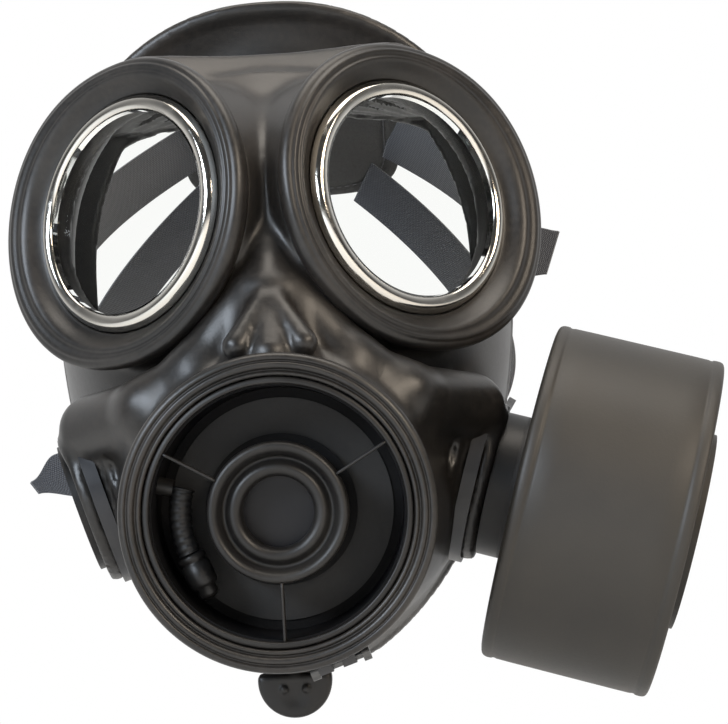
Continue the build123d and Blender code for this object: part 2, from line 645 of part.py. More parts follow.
def make_inlet():
    frame = PORTS["left"]
    seat, tail = CONNECTOR_SEAT, CONNECTOR_TAIL_RADIUS
    body = ring(frame, CONNECTOR_RADIUS, CONNECTOR_BORE, CONNECTOR_FLOOR, CONNECTOR_FRONT)
    body += ring(frame, tail, SEAT_BORE, seat, CONNECTOR_FLOOR)
    body += ring(frame, tail, INLET_DISC_RADIUS + INLET_DISC_SLACK, CONNECTOR_TAIL, seat)
    body -= ring(frame, 2 * CONNECTOR_RADIUS, tail, CONNECTOR_TAIL - 1, BOSS_TIP + 2 * GAP)
    for index in range(3):
        reach = SEAT_BORE + CONNECTOR_ARM / 2
        arm = frame * Rot(0, 0, 90 + 120 * index) * Pos(reach / 2, 0, seat + CONNECTOR_ARM / 2)
        body += arm * Box(reach, CONNECTOR_ARM_WIDTH, CONNECTOR_ARM)
    body += disc(frame, CONNECTOR_MIDDLE_RADIUS, seat, seat + CONNECTOR_ARM)
    body += disc(frame, CONNECTOR_STEM_RADIUS, seat - CONNECTOR_STEM, seat + 1)
    body += disc(frame, CONNECTOR_HEAD_RADIUS, seat - CONNECTOR_STEM, seat - CONNECTOR_STEM + 1)
    write("inlet_connector", largest(body))
    gasket_front = CONNECTOR_FLOOR + INLET_GASKET_THICK
    write("inlet_gasket", ring(frame, CONNECTOR_BORE - GAP, SEAT_BORE, CONNECTOR_FLOOR, gasket_front))
    flap_bore = CONNECTOR_STEM_RADIUS + GAP
    flap = ring(frame, INLET_DISC_RADIUS, flap_bore, seat - INLET_DISC_THICK, seat - FACE_GAP)
    write("inlet_valve_disc", flap)
    write("inlet_clamp_band", clamp_ring(frame))


def make_cheek_speech_unit():
    frame = PORTS["right"]
    floor = SPEECH_CAP_FRONT - SPEECH_CAP_THICK
    seat = floor - SPEECH_SEAT_DEPTH
    seat_radius = CONNECTOR_TAIL_RADIUS - SPEECH_SEAT_WALL
    fit = seat_radius - SPEECH_SEAT_CLEARANCE
    film_front = seat + SPEECH_FILM_THICK
    outer = CONNECTOR_TAIL_RADIUS
    body = ring(frame, outer, outer - SPEECH_HOUSING_WALL, CONNECTOR_TAIL, floor)
    body -= disc(frame, seat_radius, seat, floor + 1)
    write("cheek_speech_housing", largest(body))
    write("cheek_speech_diaphragm", disc(frame, fit, seat, film_front))
    write("cheek_speech_ring", ring(frame, fit, fit - SPEECH_RING_WIDTH, film_front, floor))
    cap = disc(frame, SPEECH_CAP_RADIUS, floor, SPEECH_CAP_FRONT)
    cap -= disc(frame, SPEECH_CAP_RADIUS - SPEECH_CAP_WALL, floor - 1, SPEECH_CAP_FRONT - SPEECH_CAP_FACE)
    for hole in round_holes(
        frame, SPEECH_HOLE_COUNT, SPEECH_HOLE_CIRCLE, SPEECH_HOLE_RADIUS, floor - 1, 0
    ):
        cap -= hole
    cap -= disc(frame, SPEECH_MIDDLE_HOLE, floor - 1, 0)
    write("cheek_speech_cap", cap)
    write("cheek_clamp_band", clamp_ring(frame))


# ---------------------------------------------------------------- canister


def thread_turn(frame, middle):
    """One turn of the neck's round thread, drawn as a ring with sloping sides."""
    root = THREAD_RADIUS - THREAD_DEPTH
    outline = [
        (root - 1, middle - THREAD_ROOT_HALF),
        (root, middle - THREAD_ROOT_HALF),
        (THREAD_RADIUS, middle - THREAD_CREST_HALF),
        (THREAD_RADIUS, middle + THREAD_CREST_HALF),
        (root, middle + THREAD_ROOT_HALF),
        (root - 1, middle + THREAD_ROOT_HALF),
    ]
    return turned(frame, outline)


def make_canister_can():
    frame = PORTS["left"]
    can = disc(frame, CANISTER_RADIUS, 0, CANISTER_LENGTH)
    can -= disc(frame, CANISTER_RADIUS - CANISTER_SHEET, CANISTER_SHEET, CANISTER_LENGTH + 1)
    can -= disc(frame, THREAD_RADIUS + GAP, -1, 2 * CANISTER_SHEET)
    write("canister_body", can)

    neck = disc(frame, THREAD_RADIUS - THREAD_DEPTH, -NECK_LENGTH, CANISTER_SHEET)
    for index in range(int(NECK_LENGTH / THREAD_PITCH)):
        neck += thread_turn(frame, -NECK_LENGTH + THREAD_START + index * THREAD_PITCH)
    neck += disc(frame, THREAD_RADIUS, -NECK_COLLAR, CANISTER_SHEET)
    flange_front = CANISTER_SHEET + NECK_FLANGE_THICK
    neck += disc(frame, THREAD_RADIUS + NECK_FLANGE, CANISTER_SHEET, flange_front)
    neck -= disc(frame, NECK_BORE, -NECK_LENGTH - 1, flange_front + 1)
    write("canister_neck", neck)
    bore = THREAD_RADIUS + WASHER_SLACK
    write("neck_washer", ring(frame, CONNECTOR_RADIUS, bore, CONNECTOR_FRONT + FACE_GAP, -FACE_GAP))

    cap_low, step = CANISTER_LENGTH - CANISTER_CAP_SEAT, CANISTER_LENGTH + CANISTER_CAP_STEP
    cap = disc(frame, CANISTER_RADIUS - CANISTER_SHEET, cap_low, CANISTER_LENGTH)
    cap += disc(frame, CANISTER_CAP_RADIUS, CANISTER_LENGTH, step)
    cap -= disc(frame, CANISTER_CAP_RADIUS - CANISTER_CAP_WALL, cap_low - 1, step - CANISTER_CAP_FACE)
    radius, circle = CANISTER_HOLE_RADIUS, CANISTER_HOLE_CIRCLE
    for hole in round_holes(frame, CANISTER_HOLE_COUNT, circle, radius, cap_low, step + 1):
        cap -= hole
    for hole in round_holes(frame, CANISTER_INNER_HOLES, circle / 2, radius, cap_low, step + 1):
        cap -= hole
    write("canister_cap", cap)


def make_canister_filling():
    """The carbon between its screens, on a spacer, then the pleated filter under its retainer."""
    frame = PORTS["left"]
    fit = CANISTER_RADIUS - CANISTER_SHEET - GAP
    write("carbon_bed", disc(frame, fit, CARBON_LOW, CARBON_HIGH))
    lower = disc(frame, fit, CARBON_LOW - SCREEN_THICK, CARBON_LOW)
    upper = disc(frame, fit, CARBON_HIGH, CARBON_HIGH + SCREEN_THICK)
    write("carbon_screens", lower, upper)
    spacer_front = CARBON_LOW - SCREEN_THICK
    write("screen_spacer", ring(frame, fit, fit - SPACER_WIDTH, CANISTER_SHEET, spacer_front))
    write("particulate_filter", pleats(frame, fit - FILTER_SLACK, FILTER_LOW))
    cap_low = CANISTER_LENGTH - CANISTER_CAP_SEAT
    write(
        "filter_retainer",
        ring(frame, fit, fit - RETAINER_WIDTH, FILTER_TOP, cap_low),
        ring(frame, fit, fit - RETAINER_SKIRT, CARBON_HIGH + SCREEN_THICK, FILTER_TOP),
    )


def pleats(frame, radius, low):
    """The folded paper of the particulate filter: a zigzag band cut round."""
    step = 2 * radius / PLEAT_COUNT
    top, under = [], []
    for index in range(PLEAT_COUNT + 1):
        x = -radius + index * step
        height = FILTER_DEPTH - PAPER_THICK if index % 2 else 0
        top.append((x, height + PAPER_THICK))
        under.append((x, height))
    outline = make_face(Polyline(*top, *reversed(under), close=True))
    band = extrude(Plane.XZ * outline, radius, both=True)
    return frame * Pos(0, 0, low) * (band & Pos(0, 0, FILTER_DEPTH / 2) * Cylinder(radius, FILTER_DEPTH))


# ---------------------------------------------------------------- nose cup


def nose_cup_form(margin):
    """The closed form of the nose cup, made smaller all over by margin."""
    neck = HOUSING_PLATE_REAR - NOSE_CUP_NECK
    start = FRONT.offset(neck) * Circle(COLLAR_RADIUS + NOSE_CUP_WALL + NOSE_CUP_FLARE - margin)
    face_plane = Plane(
        origin=(0, NOSE_CUP_FACE_Y, NOSE_CUP_FACE_Z), x_dir=(1, 0, 0), z_dir=(0, -1, 0)
    )
    end = face_plane * Ellipse(NOSE_CUP_HALF_WIDTH - margin, NOSE_CUP_HALF_HEIGHT - margin)
    return loft([end, start])


def nose_valve_frame(side):
    """The work plane of a check valve in the upper wall of the nose cup."""
    x, y, z = NOSE_VALVE_AT
    return facing(SIDES[side] * x, y, z, SIDES[side] * NOSE_VALVE_YAW, NOSE_VALVE_PITCH)


def make_nose_cup():
    neck_rear = HOUSING_PLATE_REAR - NOSE_CUP_NECK - 1
    neck = disc(FRONT, COLLAR_RADIUS + NOSE_CUP_WALL, neck_rear, HOUSING_PLATE_REAR - 5 * GAP)
    cup = nose_cup_form(0) + neck - nose_cup_form(NOSE_CUP_WALL)
    cup -= disc(FRONT, COLLAR_RADIUS, HOUSING_PLATE_REAR - COLLAR_LENGTH - 1, HOUSING_PLATE_REAR + 1)
    seats = []
    for side in SIDES:
        frame = nose_valve_frame(side)
        cup -= disc(frame, NOSE_SEAT_OUTER + NOSE_SEAT_CLEARANCE, -NOSE_VALVE_RADIUS, NOSE_VALVE_RADIUS)
        seat = ring(frame, NOSE_SEAT_OUTER, NOSE_SEAT_BORE, -NOSE_SEAT_HALF, NOSE_SEAT_HALF)
        seat += disc(frame, NOSE_SEAT_MIDDLE, -NOSE_SEAT_HALF, NOSE_ARM_MIDDLE + NOSE_ARM_THICK / 2)
        for index in range(3):
            arm = frame * Rot(0, 0, 30 + 120 * index) * Pos((NOSE_SEAT_BORE + 1.5) / 2, 0, NOSE_ARM_MIDDLE)
            seat += arm * Box(NOSE_SEAT_BORE - 0.3, NOSE_ARM_WIDTH, NOSE_ARM_THICK)
        seat += disc(frame, NOSE_STEM_RADIUS, NOSE_STEM_END, 0)
        head = frame * Pos(0, 0, NOSE_STEM_END) * Cylinder(NOSE_HEAD_RADIUS, NOSE_HEAD_THICK)
        seat += head
        seats.append(seat)
        flap_front = -NOSE_SEAT_HALF - FACE_GAP
        flap = ring(frame, NOSE_VALVE_RADIUS, NOSE_DISC_BORE, flap_front - NOSE_DISC_THICK, flap_front)
        write(f"{side}_nose_valve_disc", flap)
    cup -= disc(SPINDLE, SPINDLE_RADIUS + SPINDLE_PASSAGE, 0, SPINDLE_BOSS_END)
    write("nose_cup", largest(cup))
    write("nose_valve_seats", *[largest(seat) for seat in seats])


# ---------------------------------------------------------------- drinking fittings


def make_lever():
    lever = disc(SPINDLE, SPINDLE_RADIUS, SPINDLE_TOP, SPINDLE_BOSS_END + SPINDLE_SHOULDER)
    foot = -SPINDLE_BOSS_END - LEVER_GAP
    wing = Plane(origin=SPINDLE.origin, x_dir=(1, 0, 0), z_dir=FRONT.z_dir)
    left, right, tip = (-LEVER_HALF_WIDTH, foot), (LEVER_HALF_WIDTH, foot), (0, foot - LEVER_HEIGHT)
    outline = make_face([Line(left, right), ThreePointArc(right, tip, left)])
    lever += wing * extrude(outline, LEVER_THICK / 2, both=True)
    write("drink_lever", lever)


def make_mouthpiece():
    mouthpiece = disc(SPINDLE, SPINDLE_RADIUS + MOUTHPIECE_WALL, SPINDLE_TOP - MOUTHPIECE_HEIGHT, SPINDLE_TOP)
    spout = SPINDLE * Pos(0, 0, SPINDLE_TOP - SPOUT_DROP) * Rot(0, 90, 0)
    spout_length = SPOUT_END - SPOUT_START
    mouthpiece += spout * Pos(0, 0, SPOUT_START + spout_length / 2) * Cylinder(SPOUT_RADIUS, spout_length)
    middle, length = (SPOUT_BORE_START + SPOUT_END + 2) / 2, SPOUT_END + 2 - SPOUT_BORE_START
    mouthpiece -= spout * Pos(0, 0, middle) * Cylinder(SPOUT_BORE, length)
    write("drink_mouthpiece", mouthpiece)


def make_drinking_hose():
    """The stored hose: an arc beside the cup's wall, its elbow through the wall, and its plug."""
    path = FRONT.offset(DRINK_TUBE_HEIGHT) * CenterArc(
        (0, 0), DRINK_TUBE_CIRCLE, DRINK_TUBE_START, DRINK_TUBE_SWEEP
    )
    start = Plane(origin=path @ 0, z_dir=path % 0)
    tube = sweep(start * Circle(DRINK_TUBE_RADIUS), path=path)
    bead = FRONT * Rot(0, 0, DRINK_TUBE_START) * Pos(DRINK_TUBE_CIRCLE, 0, DRINK_TUBE_HEIGHT)
    tube += bead * Sphere(DRINK_TUBE_RADIUS + DRINK_TUBE_BEAD)
    write("drink_tube", tube)
    reach = HOUSING_RADIUS - ELBOW_SHORT - DRINK_TUBE_CIRCLE
    elbow = elbow_place(DRINK_TUBE_CIRCLE + reach / 2) * Cylinder(ELBOW_RADIUS, reach)
    write("drink_elbow", largest(elbow - tube))
    end = Plane(origin=path @ 1, z_dir=path % 1)
    plug = end * Pos(0, 0, PLUG_LENGTH / 2 + GAP / 2) * Cylinder(PLUG_RADIUS, PLUG_LENGTH)
    plug += end * Pos(0, 0, PLUG_LENGTH + PLUG_NOSE_OUT) * Sphere(PLUG_RADIUS * PLUG_NOSE)
    write("drink_plug", plug)


# ---------------------------------------------------------------- head harness


def make_buckle(name):
    frame = buckle_frame(name)
    shape = frame * Rot(0, 90, 0) * Cylinder(PIVOT_RADIUS, BUCKLE_WIDTH - BUCKLE_RAIL)
    front, rear = -PIVOT_RADIUS - BUCKLE_NOSE, BUCKLE_REAR_BAR + BUCKLE_BAR_RADIUS
    for side in (-1, 1):
        x = side * (BUCKLE_WIDTH - BUCKLE_RAIL) / 2
        shape += frame * Pos(x, (front + rear) / 2, 0) * Box(BUCKLE_RAIL, rear - front, 2 * PIVOT_RADIUS)
    for y in (BUCKLE_MIDDLE_BAR, BUCKLE_REAR_BAR):
        shape += frame * Pos(0, y, 0) * Rot(0, 90, 0) * Cylinder(BUCKLE_BAR_RADIUS, BUCKLE_WIDTH - BUCKLE_RAIL)
    write(f"{name}_buckle", shape)


def make_strap(name, pad):
    """One strap: its loose tail, the turn round the buckle's middle bar, then over the head to the pad."""
    frame = buckle_frame(name)
    end = frame.to_local_coords(strap_line(name)[2])
    row = name.split("_")[0]
    rise = TAIL_RISE[row]
    turn = CenterArc((BUCKLE_MIDDLE_BAR, 0), STRAP_LIFT, 90 + rise, 180 - rise)
    tip = turn @ 0 + Vector(cos(radians(rise)), sin(radians(rise))) * TAIL_LENGTH[row]
    leave = (BUCKLE_REAR_BAR + STRAP_STRAIGHT, -STRAP_LIFT)
    line = Line(tip, turn @ 0) + turn + Line(turn @ 1, leave)
    line += TangentArc(leave, (end.Y, end.Z), tangent=(1, 0))
    path = frame * (Plane.YZ * Wire(line.edges()))
    section = Plane(origin=path @ 0, x_dir=frame.x_dir, z_dir=path % 0)
    strap = sweep(section * Rectangle(STRAP_WIDTH, STRAP_THICK), path=path)
    write(f"{name}_strap", largest(strap - pad))


def make_harness():
    normal = (0, cos(radians(PAD_LEAN)), sin(radians(PAD_LEAN)))
    frame = Plane(origin=PAD_AT, x_dir=(-1, 0, 0), z_dir=normal)
    outline = RectangleRounded(PAD_HALF_WIDTH * 2, PAD_HALF_HEIGHT * 2, PAD_CORNER)
    pad = frame * extrude(outline, PAD_THICK)
    write("head_pad", pad)
    for name in STRAPS:
        make_buckle(name)
        make_strap(name, pad)


os.makedirs("parts", exist_ok=True)
make_facepiece()
make_eyepieces()
make_housing()
make_cover()
make_outlet_valve()
make_speech_unit()
make_front_clamp()
make_inlet()
make_cheek_speech_unit()
make_canister_can()
make_canister_filling()
make_nose_cup()
make_lever()
make_mouthpiece()
make_drinking_hose()
make_harness()
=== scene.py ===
import json

import bmesh
import bpy
import numpy as np
from mathutils import Matrix


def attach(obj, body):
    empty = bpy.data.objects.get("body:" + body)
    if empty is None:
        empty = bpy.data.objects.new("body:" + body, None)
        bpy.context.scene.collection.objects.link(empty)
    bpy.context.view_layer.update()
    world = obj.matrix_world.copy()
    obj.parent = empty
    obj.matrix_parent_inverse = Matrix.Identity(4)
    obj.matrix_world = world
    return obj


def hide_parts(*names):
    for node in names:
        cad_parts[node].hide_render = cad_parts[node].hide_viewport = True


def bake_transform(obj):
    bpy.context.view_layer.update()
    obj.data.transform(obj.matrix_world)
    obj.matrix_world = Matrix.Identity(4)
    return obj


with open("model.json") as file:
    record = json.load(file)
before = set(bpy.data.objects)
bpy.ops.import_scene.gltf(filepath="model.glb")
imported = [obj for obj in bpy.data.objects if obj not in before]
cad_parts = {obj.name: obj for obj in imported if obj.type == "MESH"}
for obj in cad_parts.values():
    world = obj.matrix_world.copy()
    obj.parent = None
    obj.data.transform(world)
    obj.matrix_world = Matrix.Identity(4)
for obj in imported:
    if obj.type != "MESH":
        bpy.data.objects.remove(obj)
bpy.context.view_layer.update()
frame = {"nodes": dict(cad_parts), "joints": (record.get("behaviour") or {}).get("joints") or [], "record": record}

record = frame["record"]

# ---------------------------------------------------------------- camera
# The mask hangs in front of the lens a little above eye level, seen from the front and slightly below,
# and leans a few degrees to one side. Lengths in this section are metres, angles are degrees.

VIEW_AZIMUTH, VIEW_ELEVATION, VIEW_LEAN = np.radians([0.19, -14.04, -3.31])
VIEW_TARGET = np.array([0.0261, 0.0, 0.01464])
VIEW_DISTANCE = 0.640
VIEW_LENS = 93.8


def look(azimuth, elevation, lean, target, distance):
    """A camera's placement: it stands back from the target along the view line and turns about that line."""
    level = np.cos(elevation)
    back = np.array([np.sin(azimuth) * level, -np.cos(azimuth) * level, np.sin(elevation)])
    right = np.array([np.cos(azimuth), np.sin(azimuth), 0.0])
    up = np.cross(back, right)
    placement = np.eye(4)
    placement[:3, 0] = np.cos(lean) * right + np.sin(lean) * up
    placement[:3, 1] = np.cos(lean) * up - np.sin(lean) * right
    placement[:3, 2] = back
    placement[:3, 3] = target + back * distance
    return Matrix(placement.tolist())


camera = bpy.data.objects.new("camera", bpy.data.cameras.new("camera"))
camera.data.lens = VIEW_LENS
camera.data.sensor_width = 36.0
camera.matrix_world = look(VIEW_AZIMUTH, VIEW_ELEVATION, VIEW_LEAN, VIEW_TARGET, VIEW_DISTANCE)
bpy.context.scene.collection.objects.link(camera)
bpy.context.scene.camera = camera


# ---------------------------------------------------------------- facepiece
# One injection moulding of black butyl rubber, about 3 mm thick: a bowl over the face, a barrel for each
# eyepiece, a muzzle that carries the front unit, and a ribbed boss on each cheek. Everything flows
# together, so it is worked out as one field of distances, and its skin is where that field is zero.


class Wire:
    """One output of a shader node. Arithmetic on it adds Math nodes to the same finish."""

    def __init__(self, finish, socket):
        self.finish, self.socket = finish, socket

    def maths(self, operation, *values):
        return self.finish.node("ShaderNodeMath", {"operation": operation}, dict(enumerate(values)))

    def __add__(self, other):
        return self.maths("ADD", self, other)

    __radd__ = __add__

    def __sub__(self, other):
        return self.maths("SUBTRACT", self, other)

    def __rsub__(self, other):
        return self.maths("SUBTRACT", other, self)

    def __mul__(self, other):
        return self.maths("MULTIPLY", self, other)

    __rmul__ = __mul__

    def between(self, low, high):
        """0 at low and under, 1 at high and over, and a soft step between them."""
        values = {0: self, 1: low, 2: high}
        return self.finish.node("ShaderNodeMapRange", {"interpolation_type": "SMOOTHSTEP"}, values)

    def wave(self, pitch):
        """A sine wave that repeats every pitch."""
        return self.maths("SINE", self * (2 * np.pi / pitch))


class Finish:
    """A material with one Principled shader, and the method that adds any other node to it."""

    def __init__(self, name, **constants):
        self.material = bpy.data.materials.new(name)
        self.material.use_nodes = True
        self.tree = self.material.node_tree
        self.shader = self.tree.nodes["Principled BSDF"]
        for label, value in constants.items():
            self.set(label.replace("_", " "), value)

    def set(self, label, value):
        socket = self.shader.inputs[label]
        if isinstance(value, Wire):
            self.tree.links.new(value.socket, socket)
        else:
            socket.default_value = (*value, 1.0) if isinstance(value, tuple) else value

    def node(self, kind, settings, values, output=0):
        """Adds a node: its settings first, then the values or links of its sockets. Returns one output."""
        node = self.tree.nodes.new(kind)
        for label, value in settings.items():
            setattr(node, label, value)
        for label, value in values.items():
            socket = node.inputs[label]
            if isinstance(value, Wire):
                self.tree.links.new(value.socket, socket)
            else:
                colour = isinstance(value, tuple) and len(value) == 3 and socket.type == "RGBA"
                socket.default_value = (*value, 1.0) if colour else value
        return Wire(self, node.outputs[output])

    def place(self):
        return self.node("ShaderNodeTexCoord", {}, {}, "Object")

    def noise(self, size, detail=3.0):
        """Cloudy noise around 0.5, whose blotches are about size metres across."""
        values = {"Vector": self.place(), "Scale": 1.0 / size, "Detail": detail, "Roughness": 0.55}
        return self.node("ShaderNodeTexNoise", {}, values, "Fac")

    def mix(self, share, low, high):
        """One colour turning into another as share goes from 0 to 1."""
        return self.node("ShaderNodeMix", {"data_type": "RGBA"}, {0: share, 6: low, 7: high}, 2)

    def bump(self, height, depth, strength=1.0):
        """Raises the surface by height times depth, in metres."""
        normal = self.node("ShaderNodeBump", {}, {"Height": height, "Distance": depth, "Strength": strength})
        self.set("Normal", normal)


# Every shape is worked out in millimetres as a whole numpy array and stored in metres.
MILLIMETRE = 0.001


def unit(vector):
    vector = np.asarray(vector, float)
    return vector / np.linalg.norm(vector)


def close_mesh(mesh):
    """Merges points that meet, fills open ends, and turns every face outwards."""
    work = bmesh.new()
    work.from_mesh(mesh)
    bmesh.ops.remove_doubles(work, verts=work.verts, dist=0.001 * MILLIMETRE)
    bmesh.ops.holes_fill(work, edges=[edge for edge in work.edges if edge.is_boundary], sides=0)
    bmesh.ops.recalc_face_normals(work, faces=work.faces)
    work.to_mesh(mesh)
    work.free()


def make_piece(name, points, faces, finish, slot, body="mask"):
    """A smooth mesh piece from an (n, 3) array in millimetres and an array of faces, riding on a body."""
    mesh = bpy.data.meshes.new(name)
    mesh.from_pydata((np.asarray(points) * MILLIMETRE).tolist(), [], np.asarray(faces).tolist())
    close_mesh(mesh)
    mesh.shade_smooth()
    mesh.materials.append(finish.material)
    piece = bpy.data.objects.new(name, mesh)
    bpy.context.scene.collection.objects.link(piece)
    if body:
        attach(piece, body)
    return piece


def grid_faces(rows, columns, close_rows, close_columns):
    """The quads of a grid of points, joined end to end in either direction if it closes there."""
    i = np.arange(rows if close_rows else rows - 1)[:, None]
    j = np.arange(columns if close_columns else columns - 1)[None, :]
    below, beside = (i + 1) % rows, (j + 1) % columns
    here, under = i * columns, below * columns
    quads = np.stack([here + j, here + beside, under + beside, under + j], -1)
    return quads.reshape(-1, 4)


def rounded(outline, times=2, share=0.25):
    """A closed outline with its corners cut off again and again, which leaves small round edges."""
    outline = np.asarray(outline, float)
    for _ in range(times):
        following = np.roll(outline, -1, axis=0)
        near, far = outline + share * (following - outline), following - share * (following - outline)
        outline = np.stack([near, far], 1).reshape(-1, outline.shape[1])
    return outline


class Axis:
    """A turning axis: a middle point, the way out of it, and two directions across it."""

    def __init__(self, middle, out, across=None):
        self.middle, self.out = np.asarray(middle, float), unit(out)
        self.right = unit(np.cross([0, 0, 1], self.out) if across is None else across)
        self.up = np.cross(self.out, self.right)

    def at(self, right, up, out):
        """Points in the part's frame from distances along the axis's three directions."""
        right, up, out = np.broadcast_arrays(right, up, out)
        across = right[..., None] * self.right + up[..., None] * self.up
        return self.middle + across + out[..., None] * self.out

    def local(self, points):
        """The distances of points along the axis's three directions."""
        offset = points - self.middle
        return offset @ self.right, offset @ self.up, offset @ self.out


def turned_piece(name, axis, outline, finish, slot, body="mask", steps=160, soften=2):
    """A piece turned on a lathe: a closed outline of (radius, height) carried round the axis."""
    outline = rounded(outline, soften) if soften else np.asarray(outline, float)
    radius, height = outline[:, 0], outline[:, 1]
    angle = np.linspace(0, 2 * np.pi, steps, endpoint=False)[:, None]
    points = axis.at(radius * np.cos(angle), radius * np.sin(angle), height + 0 * angle)
    area = np.sum(radius * np.roll(height, -1) - np.roll(radius, -1) * height)
    faces = grid_faces(steps, len(outline), True, True)
    if area > 0:
        faces = faces[:, ::-1]
    return make_piece(name, points.reshape(-1, 3), faces, finish, slot, body)


socket = next(m for m in record["mounts"] if m["name"] == "microphone_socket")
canister_turn = next(j for j in frame["joints"] if j["name"] == "canister_turn")
FRONT_OUT = unit(socket["axis"])
FRONT = Axis(np.array(socket["pos_m"]) / MILLIMETRE + 5.0 * FRONT_OUT, FRONT_OUT)
LEFT_PORT = Axis(np.array(canister_turn["pos_m"]) / MILLIMETRE, canister_turn["axis"])
MIRROR = np.array([-1.0, 1.0, 1.0])
RIGHT_PORT = Axis(LEFT_PORT.middle * MIRROR, LEFT_PORT.out * MIRROR)
EYE_MIDDLE = np.array([43.8, -71.2, 48.3])
EYE_YAW, EYE_PITCH = np.radians([37.3, -1.5])
EYE_LEVEL = np.cos(EYE_PITCH)
EYE_OUT = np.array([np.sin(EYE_YAW) * EYE_LEVEL, -np.cos(EYE_YAW) * EYE_LEVEL, np.sin(EYE_PITCH)])
EYES = {"left": Axis(EYE_MIDDLE, EYE_OUT), "right": Axis(EYE_MIDDLE * MIRROR, EYE_OUT * MIRROR)}

SHELL_WALL = 3.6
TEMPLE_SWELL = 3.4
SEAL_REACH = 16.0
SKIN_STEP = 1.4


def blend_union(a, b, width):
    """Joins two fields, with a fillet about width wide where they meet."""
    share = np.clip(0.5 + 0.5 * (b - a) / width, 0, 1)
    return b + (a - b) * share - width * share * (1 - share)


def blend_cut(a, b, width):
    """Cuts field b out of field a, with an edge rounded over about width."""
    return -blend_union(-a, b, width)


def soft_step(value):
    value = np.clip(value, 0, 1)
    return value * value * (3 - 2 * value)


def rod(points, start, end, start_radius, end_radius):
    """A round rod between two points whose radius changes evenly."""
    start, along = np.array(start, float), np.array(end, float) - np.array(start, float)
    share = np.clip((points - start) @ along / (along @ along), 0, 1)
    away = np.linalg.norm(points - start - share[:, None] * along, axis=1)
    return away - start_radius - share * (end_radius - start_radius)


def slab(value, low, high):
    """How far a coordinate lies outside the stretch from low to high."""
    return np.maximum(low - value, value - high)


def rear_edge(height):
    """How far back the edge of the facepiece lies at a height: a curve through brow, cheek and chin."""
    return -8 + 0.2549 * (height + 82) - 0.002723 * (height + 82) * (height - 20)


def bowl_depth(height):
    """How far the bowl reaches forward of its hollow side, which steps back above the brow."""
    offset = height - 45
    full = 97 * np.sqrt(np.clip(1 - (offset / np.where(offset > 0, 112, 175)) ** 2, 0.1, 1))
    step = soft_step((height - 95) / 11)
    return full * (1 - step) + 44 * step


def bowl_field(points):
    """The bowl over the face: half an ellipse at each height, widest at the temples."""
    x, y, z = points.T
    offset = z - 55
    reach = np.where(offset > 0, 88, 148)
    width2 = 79.5**2 * np.clip(1 - (offset / reach) ** 2, 0.01, 1)
    depth = bowl_depth(z)
    slope = bowl_depth(z + 0.5) - bowl_depth(z - 0.5)
    value = x**2 / width2 + (y - 25) ** 2 / depth**2
    across, ahead = 2 * x / width2, 2 * (y - 25) / depth**2
    upward = 2 * 79.5**2 * offset / reach**2 * x**2 / width2**2 - 2 * (y - 25) ** 2 * slope / depth**3
    bowl = (value - 1) / np.sqrt(across**2 + ahead**2 + upward**2 + 1e-5)
    return blend_cut(blend_cut(np.clip(bowl, -40, 40), 134 - z, 3), z + 88, 8)


def brim_fields(points):
    """The flat brim that stands up behind the brow, and the rolled lip along its edge."""
    x, y, z = points.T
    value = (np.abs(x) / 80) ** 2.2 + (np.abs(z - 50) / 84) ** 2.2
    outline = (value ** (1 / 2.2) - 1) * np.hypot(x, z - 50) / np.maximum(value ** (1 / 2.2), 0.05)
    back = y - rear_edge(z)
    fade = 8 * soft_step((85 - z) / 30)
    plate = blend_cut(np.maximum(outline, back - 4), back + 7, 2) + fade
    lip = np.hypot(outline + 1.2, back + 4.0) - 3.4 + fade
    return plate, lip


def barrel_field(points, eye):
    """An eyepiece's round barrel, fuller towards the temple and a little wider towards its root."""
    right, up, out = eye.local(points)
    turn = right / np.maximum(np.hypot(right, up), 1)
    radius = 44.8 + TEMPLE_SWELL * soft_step(turn) + 2.0 * soft_step((-8 - out) / 24)
    away = np.hypot(right, up) - radius
    return blend_cut(blend_cut(away, -4.5 - out, 3), out + 34, 6)


def muzzle_field(points):
    """The muzzle: round behind the front unit, growing into a wide oval across the cheeks and chin."""
    right, up, out = FRONT.local(points)
    back = np.clip((-out - 12) / 74, 0, 1)
    grown = soft_step(back) * 0.5 + back * 0.5
    width, height = 43.6 + 14 * grown, 43.6 + 10.5 * grown
    across, upward = right / width, (up - 6.0 * grown) / height
    away = (np.hypot(across, upward) - 1) * np.minimum(width, height) * 0.97
    away = blend_cut(blend_cut(away, -12.0 - out, 1.2), out + 88, 4)
    neck = np.maximum(np.hypot(right, up) - 41.9, slab(out, -20, -2.0))
    return np.minimum(away, neck)


def boss_field(points, port):
    """A cheek boss with three ribs round it, like a short bellows, and the groove of its clamp band."""
    right, up, out = port.local(points)
    along = np.clip((out + 42) / 33, 0, 1)
    ribs = 1.1 * np.cos((out + 20) / 5.0 * 2 * np.pi)
    ribs = ribs * soft_step((out + 37) / 3) * soft_step((-17.6 - out) / 1.5)
    groove = 1.1 * soft_step((out + 17.2) / 0.6) * soft_step((-12.4 - out) / 0.6)
    away = np.hypot(right, up) - (29 - 4 * along) - ribs + groove
    return blend_cut(blend_cut(away, -9 - out, 1.5), out + 46, 2)


